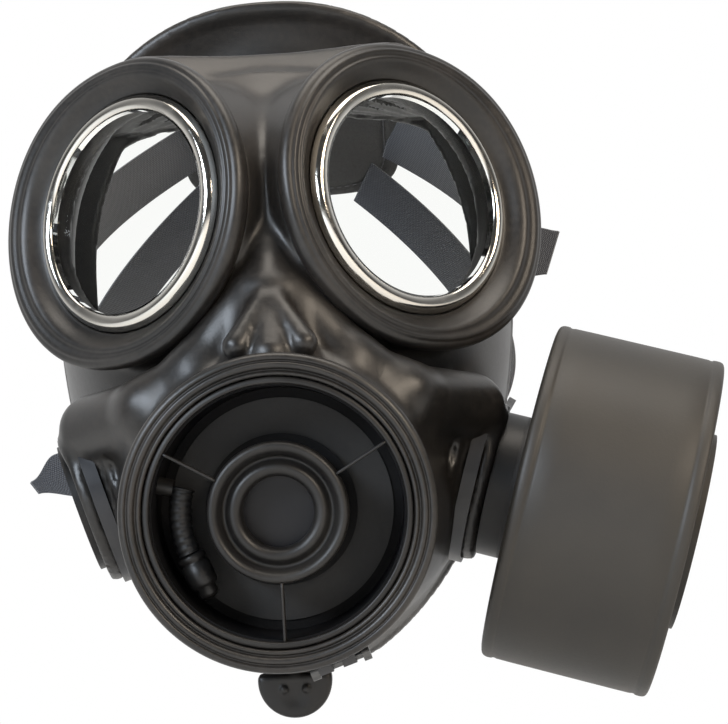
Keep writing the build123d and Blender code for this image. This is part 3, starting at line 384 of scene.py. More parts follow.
def outer_field(points):
    """The whole outer form, worked out on one half, because the two halves match."""
    points = points * np.where(points[:, :1] < 0, MIRROR, 1.0)
    body = bowl_field(points)
    x, y, z = points.T
    deep = 39 + 4.5 * soft_step((np.abs(x) - 6) / 36)
    value = ((np.abs(y + 20) / deep) ** 3.2 + (np.abs(z - 70) / 46) ** 3.2) ** (1 / 3.2)
    brow = (1 - 1 / np.maximum(value, 0.05)) * np.hypot(y + 20, z - 70)
    brow = np.maximum(brow, np.abs(x) - 52)
    crest = 106.3 - 0.0008 * x**2 - 7 * soft_step((np.abs(x) - 40) / 14)
    brow = blend_cut(brow, (crest - z - 0.35 * (y + 52)) * 0.94, 1.6)
    body = blend_union(body, brow, 4)
    plate, lip = brim_fields(points)
    body = blend_union(body, plate, 5)
    body = blend_union(body, rod(points, (0, -54, 78), (0, -74, 50), 8, 9.0), 16)
    body = blend_union(body, rod(points, (0, -74, 50), (0, -86, 14), 9.0, 8.5), 6)
    body = blend_union(body, rod(points, (0, -86, 14), (0, -89, -6), 8.5, 13.0), 6)
    barrels = [barrel_field(points * side, EYES["left"]) for side in (1.0, MIRROR)]
    body = blend_union(body, blend_union(*barrels, 3), 3)
    ridge = rod(points, (6, -84, 15), (22, -80, -6), 8.0, 9.5)
    ridge = blend_union(ridge, rod(points, (22, -80, -6), (37, -74, -15), 9.5, 10.0), 4)
    ridge = blend_union(ridge, rod(points, (37, -74, -15), (58, -48, -14), 10.0, 11.0), 5)
    muzzle = blend_union(muzzle_field(points), ridge, 7)
    body = blend_union(body, muzzle, 4)
    arch = rod(points, (2.2, -94.5, 10.5), (9.5, -99.0, -3.5), 3.0, 4.2)
    arch = blend_union(arch, rod(points, (0, -93.5, 9), (0, -98, -6), 4.0, 6.0), 1.5)
    body = blend_union(body, arch, 1.8)
    body = blend_union(body, boss_field(points, LEFT_PORT), 5)
    return blend_union(body, lip, 1.5)


def facepiece_field(points):
    """The rubber itself: a wall behind the outer form, cut along its rear edge and at its openings."""
    outer = outer_field(points)
    near = np.nonzero(np.abs(outer) < 12)[0]
    slope = [outer_field(points[near] + 0.3 * side) - outer[near] for side in np.eye(3)]
    outer[near] /= np.clip(np.sqrt(sum(change**2 for change in slope)) / 0.3, 0.85, 4.0)
    wall = np.maximum(outer, -SHELL_WALL - outer)
    bowl = bowl_field(points)
    edge = slab(points[:, 1] - rear_edge(points[:, 2]), -3.0, 2.0)
    wall = blend_union(wall, np.maximum(edge, np.maximum(bowl, -SEAL_REACH - bowl)), 2.0)
    right, up, out = FRONT.local(points)
    collar = np.maximum(np.hypot(right, up) - 41.9, slab(out, -30, -2.0))
    wall = blend_cut(np.minimum(wall, collar), np.maximum(np.hypot(right, up) - 38.1, -60 - out), 0.8)
    half = points * np.where(points[:, :1] < 0, MIRROR, 1.0)
    right, up, out = EYES["left"].local(half)
    radius = np.hypot(right, up)
    wall = np.minimum(wall, np.maximum(radius - 44, slab(out, -12, -5.2)))
    wall = blend_cut(wall, np.maximum(radius - 34.0, slab(out, -40, 20)), 1.0)
    wall = blend_cut(wall, np.maximum(radius - 37.2, slab(out, -4.8, 20)), 0.6)
    right, up, out = LEFT_PORT.local(half)
    radius = np.hypot(right, up)
    wall = np.minimum(wall, np.maximum(radius - 24, slab(out, -26, -10)))
    wall = blend_cut(wall, np.maximum(radius - 20.7, slab(out, -70, 20)), 1.0)
    return blend_cut(wall, rear_edge(points[:, 2]) - points[:, 1], 1.2)


def skin(field, low, high, step):
    """The surface where a field is zero. Each cell of a grid that it crosses gets one point, the mean of
    the crossings on its edges, and each grid edge that it crosses gets one face. Two short steps along
    the field's slope then put every point on the surface itself."""
    axes = [np.arange(a, b, step) for a, b in zip(low, high)]
    shape = tuple(len(axis) for axis in axes)
    places = np.stack(np.meshgrid(*axes, indexing="ij"), -1).reshape(-1, 3)
    value = np.concatenate([field(part) for part in np.array_split(places, 24)]).reshape(shape)
    cells = tuple(n - 1 for n in shape)
    total, count = np.zeros(cells + (3,)), np.zeros(cells)
    crossings = []
    for axis in range(3):
        near = value[tuple(slice(None, -1) if k == axis else slice(None) for k in range(3))]
        far = value[tuple(slice(1, None) if k == axis else slice(None) for k in range(3))]
        crossed = (near < 0) != (far < 0)
        share = np.where(crossed, near / np.where(crossed, near - far, 1), 0)
        crossings.append((crossed, near < 0))
        sides = [k for k in range(3) if k != axis]
        for first, second in ((0, 0), (0, 1), (1, 0), (1, 1)):
            cut = [slice(None)] * 3
            cut[sides[0]] = slice(first, first + cells[sides[0]])
            cut[sides[1]] = slice(second, second + cells[sides[1]])
            here = crossed[tuple(cut)]
            count += here
            total[..., axis] += share[tuple(cut)]
            total[..., sides[0]] += here * first
            total[..., sides[1]] += here * second
    used = count > 0
    index = np.cumsum(used).reshape(cells) - 1
    corner = np.stack(np.nonzero(used), -1)
    points = (corner + total[used] / count[used][:, None]) * step + np.array(low)
    faces = []
    for axis, (crossed, inside) in enumerate(crossings):
        one, two = (axis + 1) % 3, (axis + 2) % 3
        keep = [slice(None)] * 3
        keep[one], keep[two] = slice(1, -1), slice(1, -1)
        edge = np.stack(np.nonzero(crossed[tuple(keep)]), -1)
        edge[:, [one, two]] += 1
        corners = []
        for back_one, back_two in ((1, 1), (0, 1), (0, 0), (1, 0)):
            cell = edge.copy()
            cell[:, one] -= back_one
            cell[:, two] -= back_two
            corners.append(index[tuple(cell.T)])
        quad = np.stack(corners, -1)
        faces.append(np.where(inside[tuple(edge.T)][:, None], quad, quad[:, ::-1]))
    for _ in range(2):
        here = field(points)
        slope = np.stack([field(points + 0.2 * side) - here for side in np.eye(3)], -1) / 0.2
        step_back = np.clip(here / np.maximum((slope**2).sum(1), 0.25), -0.5, 0.5)
        points = points - step_back[:, None] * slope
    return points, np.concatenate(faces)


def rubber_finish(name, dark, dusty, roughness):
    """Moulded rubber: nearly black, with a faint brown bloom in broad patches and a fine pebbled grain."""
    finish = Finish(name, Specular_IOR_Level=0.4)
    cloud = finish.noise(0.045, 4.0)
    speck = finish.noise(0.0018, 2.0)
    grain = finish.noise(0.0006, 2.0)
    bloom = (cloud * 0.8 + speck * 0.35).between(0.42, 0.78)
    finish.set("Base Color", finish.mix(bloom, dark, dusty))
    finish.set("Roughness", roughness + 0.16 * cloud + 0.08 * speck - 0.1)
    finish.bump(grain * 0.7 + speck * 0.5, 0.00010, 0.4)
    return finish


RUBBER = rubber_finish("moulded_rubber", (0.0055, 0.005, 0.0046), (0.018, 0.0152, 0.013), 0.36)
SKIN_LOW, SKIN_HIGH = (-101, -116, -114), (101, 32, 150)
facepiece_mesh = skin(facepiece_field, SKIN_LOW, SKIN_HIGH, SKIN_STEP)
facepiece = make_piece("facepiece_skin", *facepiece_mesh, RUBBER, "black_rubber")
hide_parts("facepiece", "face_seal")


def dress(finish, *nodes):
    """Gives CAD nodes a finish. Their shape stays as the CAD made it."""
    for node in nodes:
        mesh = frame["nodes"][node].data
        mesh.materials.clear()
        mesh.materials.append(finish.material)


# ---------------------------------------------------------------- eyepiece rims
# The rubber that holds each lens: a raised rim with two fine ridges on its crest and a dark slope down
# to the metal ring. It is moulded with the facepiece and stretched over the lens from the front.

EYE_RIM = [
    (37.25, -4.6), (37.25, -1.2), (38.0, -1.0), (39.6, 0.2), (41.2, 1.9), (42.2, 3.0), (43.0, 3.4),
    (43.6, 2.9),
    (44.2, 2.9), (44.8, 3.3), (45.5, 3.3), (46.1, 2.6), (46.8, 2.4), (47.7, 1.8), (48.3, 0.4), (48.1, -1.6),
    (46.8, -3.8), (45.0, -6.0), (43.0, -6.8), (39.0, -6.8),
]
RIM_STEPS = 220


def rim_surface(eye):
    """The rim's outline carried round the eye's axis, pushed outwards where it faces the temple."""
    outline = rounded(EYE_RIM, 1)
    angle = np.linspace(0, 2 * np.pi, RIM_STEPS, endpoint=False)[:, None]
    swell = TEMPLE_SWELL * soft_step(np.cos(angle) * np.sign(eye.middle[0]))
    radius = outline[:, 0] + swell * soft_step((outline[:, 0] - 41.0) / 6.0)
    points = eye.at(radius * np.cos(angle), radius * np.sin(angle), outline[:, 1] + 0 * angle)
    return points.reshape(-1, 3), grid_faces(RIM_STEPS, len(outline), True, True)


for side, eye in EYES.items():
    make_piece(f"{side}_eye_rim", *rim_surface(eye), RUBBER, "black_rubber")

# ---------------------------------------------------------------- lenses and their rings
# Clear moulded lenses, held by bright rings that are rolled from thin metal and polished: a broad slope
# on the inside, a rounded crest, and a narrow turned-down edge against the rubber.

POLISHED = Finish("polished_ring", Base_Color=(0.56, 0.54, 0.50), Metallic=1.0)
scuff = POLISHED.noise(0.0035, 5.0)
POLISHED.set("Roughness", 0.12 + 0.12 * scuff.between(0.45, 0.8))
POLISHED.bump(POLISHED.noise(0.012, 1.0), 0.00025, 0.35)

LENS_RING = [
    (31.75, -2.2), (31.8, 0.7), (32.6, 1.5), (33.8, 1.9), (35.0, 1.7), (35.9, 1.0), (36.6, 0.0),
    (37.0, -1.0), (37.0, -2.2),
]
for side, eye in EYES.items():
    name = f"{side}_polished_ring"
    ring = turned_piece(name, eye, LENS_RING, POLISHED, "bright_metal", steps=200, soften=2)
    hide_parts(f"{side}_lens_ring")

LENS = Finish("clear_lens", Base_Color=(0.97, 0.98, 0.96), Roughness=0.0, IOR=1.22, Transmission_Weight=1.0)
dress(LENS, "left_lens", "right_lens")

# ---------------------------------------------------------------- front ring
# The rubber ring round the front unit: two fine grooves on its face, gripped from outside by a
# lacquered steel band that one screw draws tight.

FRONT_RING = [
    (38.1, -12.0), (38.1, -0.6), (38.5, 0.2), (39.2, 0.3), (39.6, -0.5), (40.0, -0.5), (40.4, 0.5),
    (41.2, 0.8), (41.8, 0.6), (42.1, -0.2), (42.5, -0.2), (42.9, 0.4), (43.7, 0.2), (44.4, -0.4),
    (44.8, -1.4), (44.7, -2.8),
    (44.0, -3.8), (42.3, -3.9), (41.7, -6.0), (41.7, -12.0),
]
turned_piece("front_ring", FRONT, FRONT_RING, RUBBER, "black_rubber", steps=220, soften=1)

BAND_LACQUER = Finish("band_lacquer", Base_Color=(0.02, 0.02, 0.022), Specular_IOR_Level=0.5)
BAND_LACQUER.set("Roughness", 0.28 + 0.2 * BAND_LACQUER.noise(0.006, 4.0))
dress(BAND_LACQUER, "front_clamp_band", "inlet_clamp_band", "cheek_clamp_band")
DARK_STEEL = Finish("dark_steel", Base_Color=(0.10, 0.10, 0.10), Metallic=1.0)
DARK_STEEL.set("Roughness", 0.3 + 0.2 * DARK_STEEL.noise(0.003, 4.0))
dress(DARK_STEEL, "front_clamp_screw")
PLATED = Finish("plated_steel", Metallic=1.0)
tarnish = PLATED.noise(0.004, 4.0).between(0.4, 0.7)
PLATED.set("Base Color", PLATED.mix(tarnish, (0.13, 0.13, 0.13), (0.06, 0.06, 0.065)))
PLATED.set("Roughness", 0.30 + 0.25 * PLATED.noise(0.003, 4.0))
dress(PLATED, *[n for n in frame["nodes"] if n.endswith("_buckle")])

# ---------------------------------------------------------------- front unit
# A black moulded cup with a deep recess, a hub on three thin blades, a ring of outlet ports under a
# rubber valve disc, and a speech diaphragm down the middle of the hub.


def plastic_finish(name, colour, worn, roughness, shine):
    """Moulded plastic: a fine even grain, with slightly paler and smoother patches where it is handled."""
    finish = Finish(name, Specular_IOR_Level=shine)
    cloud = finish.noise(0.02, 4.0)
    grain = finish.noise(0.0004, 2.0)
    finish.set("Base Color", finish.mix(cloud.between(0.45, 0.75), colour, worn))
    finish.set("Roughness", roughness + 0.15 * cloud)
    finish.bump(grain, 0.00005, 0.5)
    return finish


PLASTIC = plastic_finish("black_moulding", (0.0065, 0.006, 0.0058), (0.014, 0.013, 0.012), 0.34, 0.32)
# A darker, duller copy of the black plastic for the parts deep inside the cup: painted shade for the recess.
CUP_INSIDE_PAINTED_SHADE = plastic_finish("cup_inside_painted_shade", (0.003, 0.003, 0.0035), (0.005, 0.005, 0.006), 0.5, 0.12)
dress(CUP_INSIDE_PAINTED_SHADE, "outlet_housing", "outlet_valve_stop", "speech_ring")
dress(PLASTIC, "cheek_speech_housing", "cheek_speech_ring", "cheek_speech_cap", "nose_valve_seats")
dress(PLASTIC, "drink_mouthpiece", "drink_elbow", "inlet_connector", "canister_neck")

HUB = [
    (10.0, -9.0), (10.0, -5.0), (10.4, -3.6), (11.3, -2.6), (12.6, -2.3), (13.6, -2.8), (14.4, -4.2),
    (15.2, -4.8), (16.0, -4.2), (16.6, -2.2), (17.4, -0.9), (18.6, -0.5), (19.6, -1.1), (20.0, -2.6),
    (20.0, -8.0), (15.0, -9.0),
]
CUP_RIM = [(35.9, -3.2), (35.9, -1.0), (36.3, -0.3), (37.0, -0.4), (37.95, -0.7), (37.95, -3.2)]
hub = turned_piece("cover_hub", FRONT, HUB, PLASTIC, "black_plastic", steps=160, soften=1)
turned_piece("cover_rim", FRONT, CUP_RIM, PLASTIC, "black_plastic", steps=200, soften=1)
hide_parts("outlet_cover")

BLADE_ANGLES = np.radians([30, 150, 270])
BLADE_START, BLADE_END = 19.6, 36.2
BLADE = [(-0.42, -5.6), (0.42, -5.6), (0.45, -1.2), (0.3, -0.7), (-0.3, -0.7), (-0.45, -1.2)]
BLADE_STEPS = 12
blade_outline = rounded(BLADE, 1)
for number, angle in enumerate(BLADE_ANGLES):
    reach = np.linspace(BLADE_START, BLADE_END, BLADE_STEPS)[:, None]
    side, height = blade_outline[:, 0], blade_outline[:, 1]
    deeper = height - 1.2 * np.sin(np.pi * (reach - BLADE_START) / (BLADE_END - BLADE_START)) * (height < -3)
    right = reach * np.cos(angle) - side * np.sin(angle)
    up = reach * np.sin(angle) + side * np.cos(angle)
    points = FRONT.at(right, up, deeper).reshape(-1, 3)
    faces = grid_faces(BLADE_STEPS, len(blade_outline), False, True)
    make_piece(f"cover_blade_{number + 1}", points, faces, PLASTIC, "black_plastic")

SOFT_RUBBER = rubber_finish("soft_rubber", (0.0045, 0.0045, 0.0048), (0.010, 0.0096, 0.0095), 0.5)
dress(SOFT_RUBBER, "outlet_valve_disc", "speech_gasket", "inlet_gasket", "neck_washer", "inlet_valve_disc")
dress(SOFT_RUBBER, "left_nose_valve_disc", "right_nose_valve_disc")
FILM = Finish("speech_film", Base_Color=(0.008, 0.008, 0.010), Roughness=0.35, Specular_IOR_Level=0.25)
FILM.bump(FILM.noise(0.004, 1.0), 0.0001, 0.4)
dress(FILM, "speech_diaphragm", "cheek_speech_diaphragm")

# ---------------------------------------------------------------- canister
# A drawn sheet-metal can in satin dark grey paint, with a rolled seam at each end and a raised inlet cap.
# Inside are a pleated paper filter and a bed of carbon between two screens.

CAN_PAINT = Finish("canister_paint", Specular_IOR_Level=0.4)
patch = CAN_PAINT.noise(0.05, 5.0)
fleck = CAN_PAINT.noise(0.0011, 2.0)
FRESH_PAINT, WORN_PAINT = (0.0145, 0.0125, 0.0100), (0.0215, 0.0185, 0.0145)
CAN_PAINT.set("Base Color", CAN_PAINT.mix(patch.between(0.35, 0.7), FRESH_PAINT, WORN_PAINT))
CAN_PAINT.set("Roughness", 0.42 + 0.12 * patch + 0.06 * fleck)
CAN_PAINT.bump(fleck * 0.6 + CAN_PAINT.noise(0.0004, 2.0) * 0.4, 0.00008, 0.5)

CAN = [
    (20.0, 0.0), (46.0, 0.0), (50.5, 0.0), (52.6, 0.5), (53.4, 1.6), (53.45, 3.6), (53.1, 4.1),
    (53.1, 4.9), (53.3, 5.4), (53.3, 26.0), (53.3, 47.6), (53.1, 48.1), (53.1, 48.9), (53.45, 49.4),
    (53.45, 51.4), (53.0, 52.3), (52.2, 52.5),
    (51.6, 52.0), (51.6, 48.0), (52.2, 26.0), (51.6, 1.4), (20.0, 1.0),
]
can = turned_piece(
    "canister_can", LEFT_PORT, CAN, CAN_PAINT, "canister_paint", "canister", steps=240, soften=1
)
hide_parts("canister_body")
dress(CAN_PAINT, "canister_cap")
SHEET = Finish("bare_sheet", Base_Color=(0.62, 0.62, 0.62), Metallic=1.0)
SHEET.set("Roughness", 0.35 + 0.2 * SHEET.noise(0.01, 4.0))
dress(SHEET, "carbon_screens", "screen_spacer", "filter_retainer")
CARBON = Finish("carbon_grains", Roughness=0.9)
CARBON.set("Base Color", CARBON.mix(CARBON.noise(0.0015, 2.0), (0.004, 0.004, 0.004), (0.03, 0.03, 0.03)))
CARBON.bump(CARBON.noise(0.0015, 1.0), 0.0006, 1.0)
dress(CARBON, "carbon_bed")
PAPER = Finish("filter_paper", Roughness=0.9)
PAPER.set("Base Color", PAPER.mix(PAPER.noise(0.004, 4.0), (0.78, 0.75, 0.68), (0.62, 0.59, 0.52)))
PAPER.bump(PAPER.noise(0.0008, 2.0), 0.0001, 0.6)
dress(PAPER, "particulate_filter")

# ---------------------------------------------------------------- drinking fittings
# A turning grip under the chin works the valve of a drinking spout. The outside hose is stored in the
# front cup: soft black rubber on a swivelling elbow, with a hard plug on its free end.

lever_turn = next(j for j in frame["joints"] if j["name"] == "drink_lever_turn")
SPINDLE = Axis(np.array(lever_turn["pos_m"]) / MILLIMETRE, -np.array(lever_turn["axis"]), (1, 0, 0))
GRIP_TOP = 50.3


def grip_field(points):
    """The spindle, and a thick round paddle with a dished face and two rivet heads."""
    right, up, out = SPINDLE.local(points)
    paddle = np.hypot(right, out - GRIP_TOP - 2.2) - 11.2
    paddle = blend_cut(paddle, out - GRIP_TOP, 1.5)
    paddle = blend_cut(paddle, 3.6 - np.abs(up), 2.0)
    dish = np.linalg.norm(np.stack([right, np.abs(up) - 12.6, out - GRIP_TOP - 6.6]), axis=0) - 9.6
    body = blend_cut(paddle, dish, 0.8)
    for x in (-3.4, 3.4):
        rivet = np.linalg.norm(np.stack([right - x, np.abs(up) - 3.0, out - GRIP_TOP - 4.6]), axis=0) - 1.5
        body = blend_union(body, rivet, 0.4)
    stem = np.maximum(np.hypot(right, up) - 2.95, slab(out, 24.5, GRIP_TOP + 2))
    return blend_union(body, stem, 0.8)


corner = SPINDLE.at(0, 0, 40.0)
grip_mesh = skin(grip_field, corner - (14, 14, 28), corner + (14, 14, 20), 0.5)
grip = make_piece("drink_grip", *grip_mesh, PLASTIC, "black_plastic", "drink_spindle")
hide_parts("drink_lever")

SPINDLE_BOSS = [(3.1, 31.0), (12.5, 31.0), (9.4, 34.5), (7.7, 38.5), (7.4, 49.0), (6.7, 49.9), (3.1, 49.9)]
turned_piece("spindle_boss", SPINDLE, SPINDLE_BOSS, RUBBER, "black_rubber", steps=72)

HOSE_RADIUS, HOSE_CIRCLE, HOSE_HEIGHT = 3.2, 28.4, -13.5
HOSE_START, HOSE_END = np.radians([163, 203])


def tube_along(name, path, right, up, radius, finish, slot, body, steps=32):
    """A round tube along a path, whose radius is given at each point. Its ends close to a point."""
    angle = np.linspace(0, 2 * np.pi, steps, endpoint=False)
    ring = np.cos(angle)[None, :, None] * right[:, None] + np.sin(angle)[None, :, None] * up[:, None]
    points = path[:, None] + radius[:, None, None] * ring
    faces = grid_faces(len(path), steps, False, True)
    return make_piece(name, points.reshape(-1, 3), faces, finish, slot, body)


share = np.linspace(0, 1, 90)
angle = HOSE_START + share * (HOSE_END - HOSE_START)
hose_path = FRONT.at(HOSE_CIRCLE * np.cos(angle), HOSE_CIRCLE * np.sin(angle), HOSE_HEIGHT)
hose_side = np.cos(angle)[:, None] * FRONT.right + np.sin(angle)[:, None] * FRONT.up
hose_out = np.broadcast_to(FRONT.out, hose_side.shape)
swell = 0.18 * np.cos(2 * np.pi * 9 * share) + 0.5 * soft_step((0.08 - share) / 0.06)
closed = np.sqrt(np.clip(1 - (np.abs(share - 0.5) * 2) ** 60, 0, 1))
hose = tube_along(
    "drink_hose", hose_path, hose_side, -hose_out, (HOSE_RADIUS + swell) * closed,
    SOFT_RUBBER, "soft_rubber", "drink_hose",
)
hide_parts("drink_tube")
hose_way = -np.sin(angle[-1]) * FRONT.right + np.cos(angle[-1]) * FRONT.up
PLUG = [
    (0.0, 0.0), (3.8, 0.0), (4.2, 0.5), (4.2, 1.6), (3.6, 2.0), (3.6, 2.6), (4.2, 3.0), (4.2, 8.6),
    (3.7, 9.6), (2.9, 10.2), (3.0, 12.0), (2.4, 13.0), (1.2, 13.5), (0.0, 13.6),
]
plug_axis = Axis(hose_path[-1], hose_way, FRONT.out)
plug = turned_piece("hose_plug", plug_axis, PLUG, PLASTIC, "black_plastic", "drink_hose", steps=64, soften=0)
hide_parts("drink_plug")

# ---------------------------------------------------------------- harness
# Six straps of dark woven elastic run from a pad on the crown to a steel buckle on each rubber tab. Each
# goes under the buckle, turns round its middle bar, and ends in a loose tail that is pulled to tighten it.

STRAP_ROWS = {
    "brow": ((29, -12, 121), (0.02, 0.84, 0.54), (24, 123, 160), 6.0, 20.0),
    "temple": ((78.5, 12, 50), (0.10, 0.82, 0.50), (41, 138, 147), 38.0, 19.0),
    "cheek": ((63, 13, -18), (0.30, 0.80, 0.52), (29, 152, 132), 50.0, 26.0),
}
STRAP_WIDTH, STRAP_THICK, STRAP_LIFT = 19.0, 1.6, 2.4
STRAP_SECTION = [(-0.5, -0.5), (-0.49, -0.5), (0.49, -0.5), (0.5, -0.5), (0.5, 0.5), (-0.5, 0.5)]
TAB_REACH, MIDDLE_BAR, REAR_BAR = 9.0, 9.0, 17.0

WEBBING = Finish("woven_elastic", Sheen_Weight=0.25, Sheen_Roughness=0.5, Specular_IOR_Level=0.3)
cloth = WEBBING.node("ShaderNodeUVMap", {"uv_map": "weave"}, {})
across_cloth = WEBBING.node("ShaderNodeSeparateXYZ", {}, {0: cloth}, 0)
along_cloth = WEBBING.node("ShaderNodeSeparateXYZ", {}, {0: cloth}, 1)
weave = (across_cloth.wave(1.5) * along_cloth.wave(1.1)).between(-0.9, 0.9)
WEBBING.set("Base Color", WEBBING.mix(weave, (0.010, 0.011, 0.015), (0.045, 0.049, 0.060)))
WEBBING.set("Roughness", 0.75 + 0.15 * weave)
WEBBING.bump(weave, 0.0002, 0.8)


def strap_frame(row, side):
    """Where a strap starts: its buckle's pivot, and the directions across, along and away from the head."""
    flip = MIRROR if side == "right" else 1
    root, along, end = [np.array(value, float) * flip for value in STRAP_ROWS[row][:3]]
    along = unit(along)
    pivot = root + TAB_REACH * along
    across = unit(np.cross(end - pivot, along))
    return pivot, across, along, np.cross(across, along), end


def arc(middle, radius, start, end, count):
    angle = np.linspace(start, end, count)
    return np.stack([middle[0] + radius * np.cos(angle), middle[1] + radius * np.sin(angle)], -1)


TAB_WIDTH, TAB_HALF = 18.0, 2.3
for row in STRAP_ROWS:
    for side in ("left", "right"):
        pivot, across, along, away, end = strap_frame(row, side)
        turn = np.linspace(0, np.pi / 2, 8)
        reach = np.concatenate([np.linspace(-TAB_REACH - 4, -0.5, 10), TAB_HALF * np.sin(turn)])
        half = np.concatenate([np.full(10, TAB_HALF), TAB_HALF * np.cos(turn)])
        outline = rounded([(-0.5, -1), (0.5, -1), (0.5, 1), (-0.5, 1)], 3)
        points = pivot + reach[:, None, None] * along + outline[None, :, :1] * TAB_WIDTH * across
        points = points + outline[None, :, 1:] * half[:, None, None] * away
        faces = grid_faces(len(reach), len(outline), False, True)
        make_piece(f"{row}_{side}_tab", points.reshape(-1, 3), faces, RUBBER, "black_rubber")

        rise, tail = np.radians(STRAP_ROWS[row][3]), STRAP_ROWS[row][4]
        turn = arc((MIDDLE_BAR, 0), STRAP_LIFT, np.pi / 2 + rise, 1.5 * np.pi, 24)
        length = np.linspace(1, 0, 24, endpoint=False)[:, None] * tail
        curl = np.stack([0 * length[:, 0], 0.10 * length[:, 0] ** 2 / tail * 4], -1)
        loose = turn[0] + length * np.array([np.cos(rise), np.sin(rise)]) + 0.25 * curl * (row != "brow")
        leave = np.array([REAR_BAR + 4, -STRAP_LIFT])
        under = turn[-1] + np.linspace(0, 1, 8)[1:, None] * (leave - turn[-1])
        chord = np.array([(end - pivot) @ along, (end - pivot) @ away]) - leave
        radius = (chord @ chord) / (2 * abs(chord[1]))
        sweep = 2 * np.arctan2(abs(chord[1]), chord[0])
        over = arc(leave - (0, radius), radius, np.pi / 2, np.pi / 2 - sweep, 90)[1:]
        line = np.concatenate([loose, turn, under, over])
        step = np.gradient(line, axis=0)
        step /= np.linalg.norm(step, axis=1, keepdims=True)
        path = pivot + line[:, :1] * along + line[:, 1:] * away
        normal = -step[:, 1:] * along + step[:, :1] * away
        outline = rounded(STRAP_SECTION, 2)
        taper, tapered = (0.72 if row == "cheek" else 0.12), len(loose) * 0.55
        width = STRAP_WIDTH * (1 - taper * soft_step((tapered - np.arange(len(line))) / tapered))
        points = path[:, None] + outline[None, :, :1] * across * width[:, None, None]
        points = points + outline[None, :, 1:] * normal[:, None] * STRAP_THICK
        rows, columns = points.shape[:2]
        faces = grid_faces(rows, columns, False, True)
        strap = make_piece(f"{row}_{side}_webbing", points.reshape(-1, 3), faces, WEBBING, "webbing", None)
        run = np.concatenate([[0], np.cumsum(np.linalg.norm(np.diff(path, axis=0), axis=1))])
        uv = np.stack(np.broadcast_arrays(outline[None, :, 0] * STRAP_WIDTH, run[:, None]), -1).reshape(-1, 2)
        layer = strap.data.uv_layers.new(name="weave")
        corners = np.empty(len(strap.data.loops), int)
        strap.data.loops.foreach_get("vertex_index", corners)
        layer.data.foreach_set("uv", uv[corners].ravel())
        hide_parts(f"{row}_{side}_strap")
        start = (pivot + 62 * along) * MILLIMETRE
        stop = (pivot + 30 * along) * MILLIMETRE
        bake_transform(strap)

# ---------------------------------------------------------------- head pad
# A soft pad of black leathercloth over thin foam, on the crown of the head. It has a stitched border,
# and the six straps end under its edge.

PAD_MIDDLE, PAD_LEAN = np.array([0.0, 136.0, 146.0]), np.radians(50)
PAD_WIDTH, PAD_HEIGHT, PAD_THICK = 90.0, 56.0, 3.0
PAD_OUT = np.array([0.0, np.cos(PAD_LEAN), np.sin(PAD_LEAN)])
PAD_FRAME = Axis(PAD_MIDDLE, PAD_OUT, (-1, 0, 0))


def pad_surface(columns, rows):
    """A rounded rectangle, full in the middle, thin at its edge, with a groove where the border is sewn."""
    turn = np.linspace(0, 2 * np.pi, columns, endpoint=False)[None, :]
    share = np.sin(np.linspace(0, np.pi, rows))[:, None]
    face = np.where(np.arange(rows) < rows / 2, 1.0, -1.0)[:, None]
    corner = np.abs(np.cos(turn)) ** 4 + np.abs(np.sin(turn)) ** 4
    right = share * PAD_WIDTH / 2 * np.cos(turn) / corner**0.25
    up = share * PAD_HEIGHT / 2 * np.sin(turn) / corner**0.25
    groove = 0.45 * np.exp(-(((share - 0.86) / 0.03) ** 2))
    crown = (1 - share**6) ** 0.5 * (0.75 + 0.25 * (1 - share**2)) - groove
    out = PAD_THICK / 2 + face * PAD_THICK / 2 * crown + 0 * turn
    return PAD_FRAME.at(right, up, out)


LEATHERCLOTH = Finish("leathercloth", Specular_IOR_Level=0.4)
crease_values = {"Vector": LEATHERCLOTH.place(), "Scale": 900.0}
crease = LEATHERCLOTH.node("ShaderNodeTexVoronoi", {}, crease_values, "Distance")
cloud = LEATHERCLOTH.noise(0.02)
LEATHERCLOTH.set("Base Color", LEATHERCLOTH.mix(cloud, (0.010, 0.010, 0.011), (0.026, 0.025, 0.024)))
LEATHERCLOTH.set("Roughness", 0.42 + 0.3 * crease)
LEATHERCLOTH.bump(crease, 0.00015, 0.7)
PAD_COLUMNS, PAD_ROWS = 160, 60
pad_points = pad_surface(PAD_COLUMNS, PAD_ROWS).reshape(-1, 3)
pad_faces = grid_faces(PAD_ROWS, PAD_COLUMNS, False, True)
pad = make_piece("padded_crown", pad_points, pad_faces, LEATHERCLOTH, "webbing")
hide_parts("head_pad")

